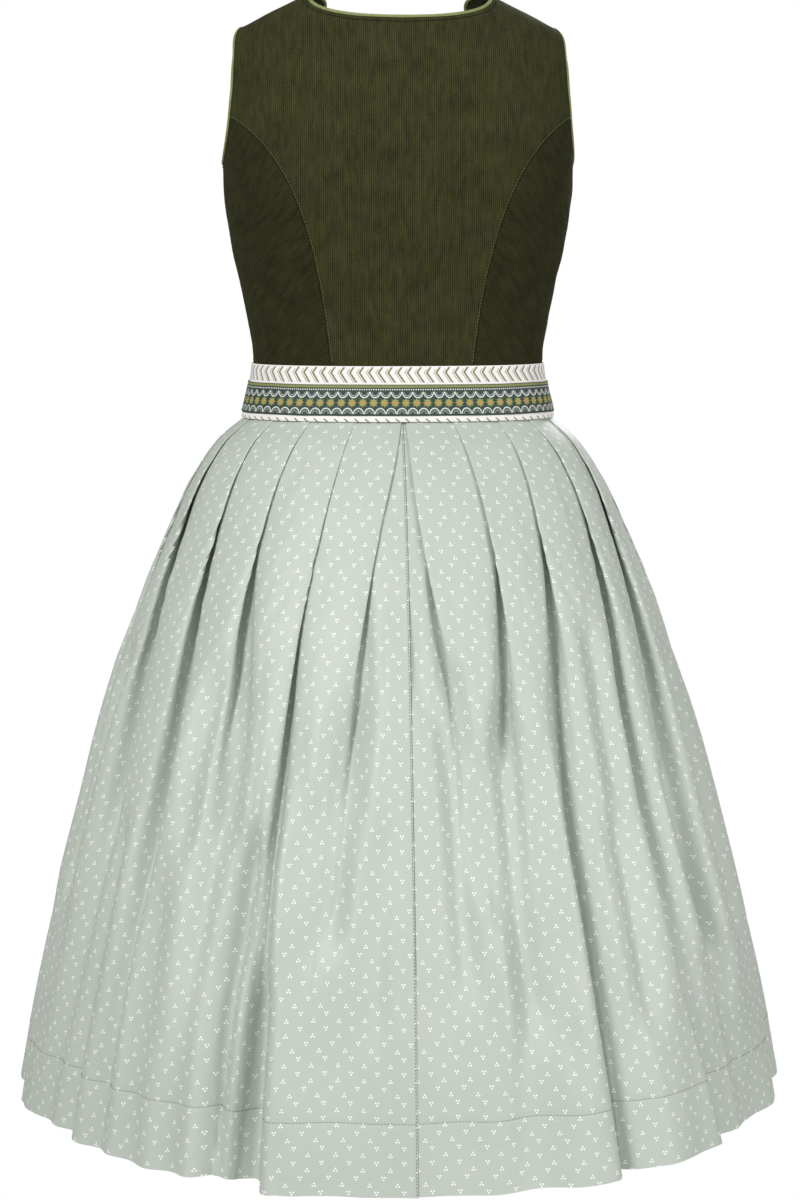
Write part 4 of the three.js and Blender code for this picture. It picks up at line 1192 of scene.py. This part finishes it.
def front_panel(side):
    def past_centre(z):
        return 2 * math.pi - angle_at_x(LAP, z, "front"), z
    lap_edge = straight(past_centre(WAIST_Z), past_centre(-FRONT_NECK_DROP))
    corner = straight(past_centre(-FRONT_NECK_DROP), front_neckline(0.0))
    shape = (
        by_length(straight(past_centre(WAIST_Z), front_seam(0.0))),
        by_length(straight((QUARTER, 0.0), armhole(0.0))),
        chain([lap_edge, chain([corner, front_neckline], [0.06])], [0.6]),
        chain([front_seam, part_of(armhole, FRONT_SEAM_END, 1)], [0.75]),
    )
    hand = 1 if side == "left" else -1
    lift = -LAP_LIFT if side == "left" else LAP_LIFT
    piece = panel(f"front_panel_{side}", f"bodice_front_{side}", shape, even(40), even(90), lift=lift,
                  hand=hand, seed=13 if side == "left" else 17)


SEAM_STITCH_GAP = 1.7             # how far edge stitches run from a curved seam
ARMHOLE_STITCH_GAP = 4.0
EDGE_STITCH = {"length": 1.9, "width": 0.5, "rise": 0.4}


def both_hands(path, normal):
    """A line of stitches and its mirror image."""
    return [(path, normal), (mirrored(path), mirrored(normal))]


def seam_stitches():
    """Edge stitching on the centre panels beside the curved seams, and inside neck and armholes."""
    share = np.linspace(0.01, 0.985, 220)
    seam_rows, edge_rows = [], []
    for line in (back_seam, front_seam):
        angle, z = by_length(line)(share)
        points, normal = on_figure(angle, z), figure_normal(angle, z)
        forward = unit(np.gradient(points, axis=0))
        side = unit(np.cross(normal, forward))
        toward = np.sign((side * np.array([1, 0, 0])).sum(-1).mean())
        seam_rows += both_hands(points - side * toward * SEAM_STITCH_GAP + normal * 0.1, normal)
    normal = armhole_line["normal"]
    path = armhole_line["point"] + armhole_line["onto"] * ARMHOLE_STITCH_GAP - normal * 0.2
    edge_rows += both_hands(path[4:-4], normal[4:-4])
    normal = back_neck_line["normal"]
    path = back_neck_line["point"] + back_neck_line["onto"] * NECK_STRIP - normal * 0.2
    edge_rows.append([np.concatenate([mirrored(half)[::-1], half[1:]]) for half in (path[:-3], normal[:-3])])
    for name, rows, material in (("seam_stitches", seam_rows, SEAM_THREAD),
                                 ("edge_stitches", edge_rows, DARK_THREAD)):
        piece = stitches(name, rows, material, **EDGE_STITCH)
        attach(piece, "root")


# ---- Piping ----

PIPING_SINK = 0.35                # how far its middle lies inside the figure


def piping(name, node, line, closed):
    points, normals = line["point"], line["normal"]
    if closed:
        points, normals = points[:-1], normals[:-1]
        forward = unit(np.roll(points, -1, 0) - np.roll(points, 1, 0))
    else:
        forward = unit(np.gradient(points, axis=0))
    across = unit(np.cross(forward, normals))
    centres = points - normals * PIPING_SINK
    piece = tube(name, centres, across, normals, PIPING_WIDTH, PIPING_THICK, [PIPING], closed)
    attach(piece, "root")
    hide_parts(node)
    return piece


def flipped(line):
    return {key: mirrored(values) for key, values in line.items()}


def lapped(line, lift):
    rise = lift * lap_share(line["point"][:, 0])
    return {**line, "point": line["point"] + line["normal"] * rise[:, None]}


def joined(*lines):
    return {key: np.concatenate([line[key] for line in lines]) for key in ("point", "normal")}


def part(line, keep):
    return {key: values[keep] for key, values in line.items()}


def pipings():
    left = piping("armhole_piping_left", "piping_armhole_left", armhole_line, True)
    right = piping("armhole_piping_right", "piping_armhole_right", flipped(armhole_line), True)
    start = front_neck_line["point"][:, 0] > LAP + 0.3
    front_left = lapped(part(front_neck_line, start), -LAP_LIFT)
    back = joined(part(back_neck_line, slice(-2, None, -1)), part(flipped(back_neck_line), slice(1, -1)))
    whole = flipped(part(front_neck_line, slice(None, None, -1)))
    middle = part(front_neck_line, slice(0, 1))
    overlap = {**middle, "point": middle["point"] * np.array([0, 1, 1]) + np.array([LAP, 0, 0])}
    front_right = lapped(joined(whole, overlap), LAP_LIFT)
    neck_run = joined(front_left, back, front_right)
    neck = piping("neck_piping", "piping_neck", neck_run, False)


# ---- Waistband and ribbon ----

RIBBON_OUT = BAND_CLOTH + 0.55    # how far the ribbon's inner side stands off the figure
RIBBON_SEED = 6
RIBBON_SWAY = 0.5
RIBBON_STITCH = {"pitch": 2.6, "length": 1.6, "width": 0.3, "rise": 0.15}
RIBBON_STITCH_GAP = 1.0           # how far they run from the ribbon's edges
STRIP_OPENING = 0.3               # about the gap between a strip's ends, where they meet at the lap
STRIP_RADIUS = 150                # turns an angle round the waist into mm, for the waves
STRIP_SOFT = 0.35
EDGE_THINNING, EDGE_THINNING_REACH = 0.45, 0.7
STRIP_COLUMNS = 420


def strip_sway(turned, seed):
    """How far a strip runs up or down at each angle, between -1 and 1."""
    return waves(turned * STRIP_RADIUS, 0 * turned, (160, 1), seed)


def strip_soft(turned, height, seed):
    """How far a strip stands out or in at each place."""
    return waves(turned * STRIP_RADIUS, height, (60, 40), seed + 1) * STRIP_SOFT


def strip(name, node, top, bottom, out, thick, material, slot, seed=2, sway=0.0):
    """A strip round the waist with softly rounded edges, out mm off the figure at its inner side."""
    join = angle_at_x(LAP, WAIST_Z, "front")
    opening = STRIP_OPENING / (2 * SHOULDER_TIP_X)
    turned = np.linspace(join - opening, join - 2 * math.pi + opening, STRIP_COLUMNS)[None, :]
    close = np.array([0, 0.01, 0.025, 0.05])
    shares = np.unique(np.concatenate([close, np.linspace(0.08, 0.92, 18), 1 - close]))
    height = (top + (bottom - top) * shares)[:, None] + strip_sway(turned, seed) * sway
    points = on_figure(turned, height)
    level = figure_normal(turned, height)
    level[..., 2] = 0
    level = unit(level)
    edge = np.minimum(shares, 1 - shares)[:, None] * (top - bottom)
    full = 1 - EDGE_THINNING * np.exp(-(edge / EDGE_THINNING_REACH) ** 2)
    soft = strip_soft(turned, height, seed)
    outer = points + level * (out + thick * full + soft)[..., None]
    inner = points + level * (out + soft)[..., None]
    middle = on_figure(turned[0], np.full(STRIP_COLUMNS, (top + bottom) / 2))
    run = np.concatenate([[0], np.cumsum(np.linalg.norm(np.diff(middle, axis=0), axis=1))])
    run = run - run[-1] / 2
    coords = np.stack(np.broadcast_arrays(run[None, :], ((bottom - top) * shares)[:, None]), -1)
    piece = shell(name, outer, inner, coords, [material, material])
    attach(piece, "root")
    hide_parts(node)
    (top - bottom) / METRE
    return piece


def band_and_ribbon():
    strip("waist_band", "waistband", WAIST_Z, BAND_BOTTOM_Z + 0.4, 0.1, BAND_CLOTH, BAND, "waistband")
    strip("woven_ribbon", "ribbon", RIBBON_TOP_Z, RIBBON_BOTTOM_Z, RIBBON_OUT, RIBBON_CLOTH, RIBBON,
          "ribbon", seed=RIBBON_SEED, sway=RIBBON_SWAY)
    lines = []
    join = angle_at_x(LAP, WAIST_Z, "front")
    turned = np.linspace(join - 0.01, join - 2 * math.pi + 0.01, 900)
    for height in (RIBBON_TOP_Z - RIBBON_STITCH_GAP, RIBBON_BOTTOM_Z + RIBBON_STITCH_GAP):
        z = height + strip_sway(turned, RIBBON_SEED) * RIBBON_SWAY
        normal = figure_normal(turned, z)
        out = RIBBON_OUT + RIBBON_CLOTH + strip_soft(turned, z, RIBBON_SEED)
        lines.append((on_figure(turned, z) + normal * out[:, None], normal))
    piece = stitches("ribbon_stitches", lines, DARK_THREAD, **RIBBON_STITCH)
    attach(piece, "root")


# ---- Skirt ----

def half_outline(z):
    """Half of a level outline from centre back to centre front: distances round it, points, normals."""
    half, back, front, square = (read_table(SKIRT, key, z) for key in ("half", "back", "front", "square"))
    x, y = on_section((half, back, front, square), np.linspace(0, math.pi, 1201))
    run = np.concatenate([[0], np.cumsum(np.hypot(np.diff(x), np.diff(y)))])
    rise_x, rise_y = np.gradient(x), np.gradient(y)
    size = np.hypot(rise_x, rise_y)
    return run, x, y, -rise_y / size, rise_x / size


def fold_corners(folds, level, length, waist_length):
    """The corners of the folded cloth at one level, as distances round the outline and out of it, and
    how far each may be rounded."""
    edges = [cubic_through(FOLD_LEVELS, fold["edge"], level) * length for fold in folds]
    floors = [cubic_through(FOLD_LEVELS, fold["floor"], level) for fold in folds]
    depths = [cubic_through(FOLD_LEVELS, fold["depth"], level) for fold in folds]
    pitch = length / len(folds)
    pressed = (CLOTH_PER_PLEAT - waist_length / len(folds) - 4 * PLEAT_GAP) / 2
    eased = smoothstep(level, 0.02, 1.0) ** 0.8
    corners = []
    before = 0.0
    crest_before = -CREST * depths[0]
    for fold, edge, floor_width, depth in zip(folds, edges, floors, depths):
        rim_soft, edge_soft = (WAIST_SOFT + (soft - WAIST_SOFT) * eased for soft in fold["soft"])
        floor_soft = (rim_soft + edge_soft) / 2
        under = max(0.0, (CLOTH_PER_PLEAT - pitch - depth) / 2)
        closed = min(1.0, under / pressed)
        closed *= 1 - smoothstep(level, OPENING_START * fold["open"], fold["open"])
        opened = 1 - closed
        crest = (PRESSED_CREST * closed + CREST * opened) * depth
        floor = crest - depth
        turn = PLEAT_GAP * closed + WALL_TURN * depth * opened
        slope = WALL_LEAN + WALL_LEAN_SHARE * depth
        rim = (edge + UNDER_RIM * under) * closed + (edge - floor_width) * opened
        rim_out = -PRESSED_RIM * depth * closed + crest * opened
        far_foot = (edge + UNDER_FLOOR * under) * closed + (edge - floor_width + slope) * opened
        foot = edge + under - slope * opened
        middle_out = (crest_before + rim_out) / 2 * closed + crest * opened
        corners += [
            ((before + rim) / 2, middle_out, rim_soft + PANEL_SOFT * eased),
            (rim, rim_out, rim_soft),
            (min(far_foot, foot - 1), floor, floor_soft),
            (foot, floor, floor_soft),
            (foot, floor + turn, edge_soft),
            (edge - WALL_TURN * slope * opened, crest - turn, edge_soft),
            (edge, crest, edge_soft),
        ]
        before = edge
        crest_before = crest
    corners.insert(0, (0.0, corners[0][1], corners[0][2]))
    corners.append(((before + length) / 2, crest_before, edge_soft + PANEL_SOFT * eased))
    corners.append((length, crest_before, edge_soft))
    return np.array(corners)


ARC_POINTS = 4
RUN_POINTS = 2


def rounded(corners):
    """The line through the corners with each corner turned into a short curve. A third column keeps
    how far each place is to be eased afterwards."""
    places = corners[:, :2]
    steps = np.diff(places, axis=0)
    lengths = np.maximum(np.linalg.norm(steps, axis=1), 1e-6)
    ways = steps / lengths[:, None]
    reach = 1.0 + corners[1:-1, 2]
    back = np.minimum(reach, 0.47 * lengths[:-1])
    ahead = np.minimum(reach, 0.47 * lengths[1:])
    middle = places[1:-1]
    first = middle - ways[:-1] * back[:, None]
    last = middle + ways[1:] * ahead[:, None]
    t = np.linspace(0, 1, ARC_POINTS)[None, :, None]
    arcs = first[:, None] * (1 - t) ** 2 + 2 * middle[:, None] * t * (1 - t) + last[:, None] * t ** 2
    starts = np.concatenate([places[:1], last])
    ends = np.concatenate([first, places[-1:]])
    s = (np.arange(1, RUN_POINTS + 1) / (RUN_POINTS + 1))[None, :, None]
    runs = starts[:, None] * (1 - s) + ends[:, None] * s
    soft = corners[:, 2]
    pieces, eases = [places[:1]], [soft[:1]]
    for i in range(len(runs)):
        pieces.append(runs[i])
        eases.append(soft[i] + (soft[i + 1] - soft[i]) * s[0, :, 0])
        if i < len(arcs):
            pieces.append(arcs[i])
            eases.append(np.full(ARC_POINTS, soft[i + 1]))
    pieces.append(places[-1:])
    eases.append(soft[-1:])
    return np.column_stack([np.concatenate(pieces), np.concatenate(eases)])


EASE_STEP = 0.5
EASES = [0.35, 0.7, 1.4, 2.8, 5.6, 11.2, 22.4, 44.8]


def eased_line(line, evenness):
    """The line with its bends eased over the length that its third column gives at each place. Its
    points stand at the folds' corners where evenness is 0, and evenly where it is 1."""
    run = np.concatenate([[0], np.cumsum(np.hypot(*np.diff(line[:, :2], axis=0).T))])
    dense = np.arange(0, run[-1], EASE_STEP)
    u, w, soft = (np.interp(dense, run, line[:, k]) for k in range(3))
    count = int(3 * EASES[-1] / EASE_STEP)
    u = np.concatenate([2 * u[0] - u[count:0:-1], u, 2 * u[-1] - u[-2:-count - 2:-1]])
    w = np.concatenate([w[count:0:-1], w, w[-2:-count - 2:-1]])
    layers = []
    for ease in EASES:
        reach = int(3 * ease / EASE_STEP) + 1
        kernel = np.exp(-0.5 * (np.arange(-reach, reach + 1) * EASE_STEP / ease) ** 2)
        kernel /= kernel.sum()
        layers.append([np.convolve(values, kernel, "same")[count:-count] for values in (u, w)])
    layers = np.array(layers)
    rank = np.clip(np.log2(np.maximum(soft, EASES[0]) / EASES[0]), 0, len(EASES) - 1.001)
    low = rank.astype(int)
    part = rank - low
    place = np.arange(len(dense))
    mixed = layers[low, :, place] * (1 - part)[:, None] + layers[low + 1, :, place] * part[:, None]
    wanted = run * (1 - evenness) + np.linspace(0, run[-1], len(run)) * evenness
    result = np.stack([np.interp(wanted, dense, mixed[:, k]) for k in (0, 1)], -1)
    result[0, 0], result[-1, 0] = line[0, 0], line[-1, 0]
    return result


def crease_shift(rows, level, u, length):
    """How far the creases move the cloth out, or in where it is less than 0, at one level."""
    shift = np.zeros(len(u))
    for row in rows:
        shares, levels = np.array(row["line"]).T
        start, end = levels[0], levels[-1]
        if not start <= level <= end:
            continue
        strength = smoothstep(level, start, start + CREASE_FADE)
        if end < 1:
            strength *= 1 - smoothstep(level, end - CREASE_FADE, end)
        gap = np.abs(u - cubic_through(levels, shares, level) * length) / row["width"]
        ridges = CREASE_RIDGE * np.exp(-(gap - CREASE_RIDGE_PLACE) ** 2)
        shift += row["depth"] * strength * (ridges - np.exp(-gap ** 2))
    return shift


def hem_drop(share):
    """How far the hem hangs below HEM_Z: most at the centre back."""
    return HEM_DROP_SIDE + (HEM_DROP_BACK - HEM_DROP_SIDE) * np.exp(-(share / HEM_DROP_REACH) ** 2)


SKIRT_TOP_Z = BAND_BOTTOM_Z - 0.3
SEAM_STITCH = 1.4                 # how far the stitches run beside the centre-back seam
HEM_SLOPE = 0.94                  # turns a length down the sloping cloth into a height
HEM_STITCH_SINK = 0.25            # how far the hem's stitches pull the cloth in
LEVELS = 112
LEVEL_CROWDING = 1.05             # above 1, the levels stand closer near the waist
SEAM_REACH = 22                   # the distance over which the cloth runs level beside a seam
SEAM_OUT = (-2, 3)                # how far out the centre seams stand at the waist and from half way
WAVE_HEIGHT = 600                 # the skirt's length as the waves count it
SAG = 2.2                         # how unevenly the hem hangs
SKIRT_STITCH = {"length": 1.8, "width": 0.5, "rise": 0.3}

# Uneven waves of the skirt's cloth: their height and their typical lengths along the cloth and down
# it. They grow from the waist, but for the first, small crumples that fade out below it.
CRUMPLES = {"height": 0.9, "lengths": (26, 90)}
BILLOWS = {"height": 3.4, "lengths": (100, 620)}
RIPPLES = {"height": 0.7, "lengths": (45, 300)}


def skirt_waves(kind, cloth, level, seed):
    return kind["height"] * waves(cloth, np.full(len(cloth), level * WAVE_HEIGHT), kind["lengths"], seed)


def skirt_grid(side):
    """The middle surface of half the skirt: points, cloth coordinates, distances from its centre
    seams, the levels of its rows and the level of the hem's stitches."""
    folds = FOLDS_LEFT if side == "left" else FOLDS_RIGHT
    crease_rows = CREASES_LEFT if side == "left" else CREASES_RIGHT
    seed = 101 if side == "left" else 202
    waist_length = half_outline(BAND_BOTTOM_Z)[0][-1]
    hem_share = 1 - HEM_DEPTH / (SKIRT_TOP_Z - HEM_Z) * HEM_SLOPE
    levels = np.unique(np.concatenate([
        np.linspace(0, 1, LEVELS) ** LEVEL_CROWDING,
        hem_share + np.array([-0.004, -0.0015, 0, 0.0015, 0.004]),
        [0.996, 0.9985],
    ]))
    rows, coords, edges = [], [], []
    slant = 0.0
    last_radius = None
    for level in levels:
        z = SKIRT_TOP_Z + (HEM_Z - SKIRT_TOP_Z) * level
        run, x, y, normal_x, normal_y = half_outline(z)
        corners = fold_corners(folds, level, run[-1], waist_length)
        line = eased_line(rounded(corners), smoothstep(level, 0.06, 0.5))
        u, w = line[:, 0], line[:, 1]
        seam_out = SEAM_OUT[0] + (SEAM_OUT[1] - SEAM_OUT[0]) * smoothstep(level, 0.05, 0.5)
        w = w + (seam_out - w[0]) * np.exp(-(u / SEAM_REACH) ** 2)
        w = w + (seam_out - w[-1]) * np.exp(-((run[-1] - u) / SEAM_REACH) ** 2)
        cloth = np.concatenate([[0], np.cumsum(np.hypot(np.diff(u), np.diff(w)))])
        cloth *= CLOTH_PER_PLEAT * len(folds) / cloth[-1]
        w = w + crease_shift(crease_rows, level, u, run[-1])
        amount = smoothstep(level, 0.03, 0.5)
        near_waist = smoothstep(level, 0.0, 0.06) * (1 - smoothstep(level, 0.15, 0.5))
        w = w + near_waist * skirt_waves(CRUMPLES, cloth, level, seed + 3)
        w = w + amount * skirt_waves(BILLOWS, cloth, level, seed)
        w = w + amount * skirt_waves(RIPPLES, cloth, level, seed + 1)
        edges.append(np.minimum(np.abs(u), np.abs(run[-1] - u)))
        place = np.clip(u, 0, run[-1])
        px = np.interp(place, run, x) + np.interp(place, run, normal_x) * w
        py = np.interp(place, run, y) + np.interp(place, run, normal_y) * w
        sag = SAG * waves(cloth, 0 * cloth, (170, 1), seed + 2) * level ** 3
        drop = hem_drop(place / run[-1]) * level ** HEM_DROP_POWER
        rows.append(np.stack([np.maximum(px, 0.1), py, z + sag - drop], -1))
        radius = run[-1] / math.pi
        if last_radius is not None:
            slant += math.hypot(radius - last_radius, z - last_z)
        last_radius, last_z = radius, z
        coords.append(np.stack([cloth, -slant - drop], -1))
    return np.array(rows), np.array(coords), np.array(edges), levels, hem_share


def skirt_half(side):
    points, coords, edges, levels, hem_share = skirt_grid(side)
    normals = grid_normals(points)
    if (normals[..., :2] * points[..., :2]).sum() < 0:
        normals = -normals
    below = smoothstep(levels, hem_share - 0.0015, hem_share + 0.0015)[:, None, None]
    line = np.exp(-((levels - hem_share) / 0.0022) ** 2)[:, None, None]
    outer = points + normals * (SKIRT_CLOTH / 2 - HEM_STITCH_SINK * line)
    inner = points - normals * (SKIRT_CLOTH / 2 + (HEM_CLOTH - SKIRT_CLOTH) * below)
    row = int(np.abs(levels - hem_share).argmin())
    hem_line = (outer[row] + normals[row] * 0.1, normals[row])
    beside = np.array([[np.interp(SEAM_STITCH, edges[k, :6], outer[k, :6, j]) for j in range(3)]
                       for k in range(2, len(edges))])
    seam_line = (beside + normals[2:, 1] * 0.1, normals[2:, 1])
    if side == "right":
        outer, inner = mirrored(outer), mirrored(inner)
        hem_line = tuple(mirrored(part) for part in hem_line)
        seam_line = tuple(mirrored(part) for part in seam_line)
        coords = coords * np.array([-1, 1])
    piece = shell(f"skirt_half_{side}", outer, inner, coords, [SKIRT_FACE, SKIRT_WRONG_SIDE],
                  {"edge": edges})
    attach(piece, "root")
    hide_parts(f"skirt_{side}")
    return hem_line, seam_line


def skirt():
    left_hem, left_seam = skirt_half("left")
    right_hem, _ = skirt_half("right")
    for name, rows in (("hem_stitches", [left_hem, right_hem]), ("back_seam_stitches", [left_seam])):
        piece = stitches(name, rows, SKIRT_THREAD, **SKIRT_STITCH)
        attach(piece, "root")


# ---- Buttons ----

def lathe(name, profile, place, axis, material, turns=40):
    """A turned piece: profile gives radius and height in mm from its foot to its top."""
    profile = np.array(profile, float)
    axis = unit(np.array(axis, float))
    side = unit(np.cross(axis, [1, 0, 0.2]))
    other = np.cross(axis, side)
    turn = np.linspace(0, 2 * math.pi, turns, endpoint=False)
    ring = side[None] * np.cos(turn)[:, None] + other[None] * np.sin(turn)[:, None]
    inside = profile[1:-1]
    points = [place + axis * profile[0, 1], place + axis * profile[-1, 1]]
    for radius, height in inside:
        points += list(place + axis * height + ring * radius)
    k = np.arange(turns)
    faces = []
    for i in range(len(inside) - 1):
        a, b = 2 + i * turns, 2 + (i + 1) * turns
        faces.append(np.stack([a + k, a + (k + 1) % turns, b + (k + 1) % turns, b + k], -1))
    pairs = k[::2]
    top = 2 + (len(inside) - 1) * turns
    faces.append(np.stack([2 + (pairs + 2) % turns, 2 + pairs + 1, 2 + pairs, 0 * pairs], -1))
    faces.append(np.stack([top + pairs, top + pairs + 1, top + (pairs + 2) % turns, 0 * pairs + 1], -1))
    return make_mesh(name, np.array(points), np.concatenate(faces), [material], sharp=60)


# A button's turned profile, from the middle of its foot over its rim to the middle of its dished
# top: shares of its radius and of its thickness.
BUTTON_PROFILE = [
    (0, 0), (0.8, 0), (0.96, 0.14), (1, 0.32), (0.98, 0.6), (0.9, 0.8), (0.8, 0.86), (0.7, 0.78),
    (0.62, 0.66), (0.4, 0.7), (0.2, 0.84), (0.08, 0.86), (0, 0.86),
]
BUTTONHOLE_START, BUTTONHOLE_END = -10, 6.5
BUTTONHOLE_HALF = 0.7
BUTTONHOLE_STITCH = {"pitch": 0.7, "length": 0.9, "width": 1.0, "rise": 0.3}


def button_height(i):
    return BUTTON_FIRST_Z + (BUTTON_LAST_Z - BUTTON_FIRST_Z) * i / (BUTTONS - 1)


def buttons():
    profile = [(share * BUTTON_RADIUS, rise * BUTTON_THICK) for share, rise in BUTTON_PROFILE]
    for i in range(BUTTONS):
        z = button_height(i)
        normal = figure_normal(math.pi, z)
        place = on_figure(math.pi, z) + normal * (LAP_LIFT + BUTTON_RAISE)
        piece = lathe(f"turned_button_{i + 1}", profile, place, normal, BUTTON)
        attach(piece, "root")
        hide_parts(f"button_{i + 1}")


def buttonholes():
    """Close rows of stitches on both sides of each slit, from the button towards the lapping edge."""
    lines = []
    x = np.linspace(BUTTONHOLE_START, BUTTONHOLE_END, 24)
    for i in range(BUTTONS):
        for offset in (-BUTTONHOLE_HALF, BUTTONHOLE_HALF):
            heights = np.full(len(x), button_height(i) + offset)
            turn = np.where(x > 0, 1, -1) * (math.pi - angle_at_x(np.abs(x), heights, "front"))
            angle = math.pi - turn
            points, normal = on_figure(angle, heights), figure_normal(angle, heights)
            lines.append((points + normal * (LAP_LIFT + 0.2), normal))
    piece = stitches("buttonholes", lines, DARK_THREAD, **BUTTONHOLE_STITCH)
    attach(piece, "root")


# ---- Floor, light and camera ----

# In metres, from here on.
FLOOR_Z = -1.42
FLOOR_REACH = 0.5
FLOOR_CORNERS = 96
LIGHT_AIM = (0, 0, -0.5)
LIGHTS = [
    {"name": "key", "place": (2.0, 2.7, 1.3), "size": 1.1, "power": 92},
    {"name": "fill", "place": (-2.4, 2.3, -0.1), "size": 1.8, "power": 50},
    {"name": "front_key", "place": (-1.2, -3.2, 1.0), "size": 1.3, "power": 56},
]
WHITE = (1.0, 1.0, 1.0, 1)
WORLD_LIGHT = 0.36
CAMERA_PLACE = (0.136, 2.600, -0.240)
CAMERA_AIM = (-0.002, 0, -0.580)
CAMERA_LENS = 80.8


def floor():
    material, _, shader = new_material("pale_floor")
    shader.inputs["Base Color"].default_value = (0.95, 0.95, 0.95, 1)
    shader.inputs["Roughness"].default_value = 0.9
    shader.inputs["Specular IOR Level"].default_value = 0.1
    mesh = bpy.data.meshes.new("floor")
    turn = np.linspace(0, 2 * math.pi, FLOOR_CORNERS, endpoint=False)
    corners = [(FLOOR_REACH * math.cos(a), FLOOR_REACH * math.sin(a), FLOOR_Z) for a in turn]
    mesh.from_pydata(corners, [], [tuple(range(FLOOR_CORNERS))])
    mesh.materials.append(material)
    piece = bpy.data.objects.new("floor", mesh)
    bpy.context.scene.collection.objects.link(piece)


def light(name, place, size, power):
    data = bpy.data.lights.new(name, "AREA")
    data.shape = "DISK"
    data.size = size
    data.energy = power
    lamp = bpy.data.objects.new(name, data)
    lamp.location = place
    lamp.rotation_euler = (Vector(LIGHT_AIM) - Vector(place)).to_track_quat("-Z", "Y").to_euler()
    bpy.context.scene.collection.objects.link(lamp)


def lighting():
    """Soft even light on the cloth, a white backdrop for the camera, and three large lamps."""
    world = bpy.data.worlds.new("studio")
    world.use_nodes = True
    tree = world.node_tree
    soft = tree.nodes["Background"]
    soft.inputs["Color"].default_value = WHITE
    soft.inputs["Strength"].default_value = WORLD_LIGHT
    backdrop = tree.nodes.new("ShaderNodeBackground")
    backdrop.inputs["Color"].default_value = WHITE
    backdrop.inputs["Strength"].default_value = 1.0
    rays = tree.nodes.new("ShaderNodeLightPath")
    choose = tree.nodes.new("ShaderNodeMixShader")
    tree.links.new(rays.outputs["Is Camera Ray"], choose.inputs[0])
    tree.links.new(soft.outputs[0], choose.inputs[1])
    tree.links.new(backdrop.outputs[0], choose.inputs[2])
    tree.links.new(choose.outputs[0], tree.nodes["World Output"].inputs[0])
    bpy.context.scene.world = world
    for row in LIGHTS:
        light(**row)
    scene = bpy.context.scene
    scene.view_settings.view_transform = "Standard"
    scene.view_settings.look = "None"


def camera():
    data = bpy.data.cameras.new("camera")
    data.lens = CAMERA_LENS
    data.sensor_width = 36
    data.sensor_fit = "AUTO"
    eye = bpy.data.objects.new("camera", data)
    place, aim = Vector(CAMERA_PLACE), Vector(CAMERA_AIM)
    eye.location = place
    eye.rotation_euler = (aim - place).to_track_quat("-Z", "Y").to_euler()
    bpy.context.scene.collection.objects.link(eye)
    bpy.context.scene.camera = eye


back_panel()
for SIDE in ("left", "right"):
    side_panel("back", SIDE)
    side_panel("front", SIDE)
    front_panel(SIDE)
seam_stitches()
pipings()
band_and_ribbon()
skirt()
buttons()
buttonholes()
floor()
lighting()
camera()

bpy.context.view_layer.update()
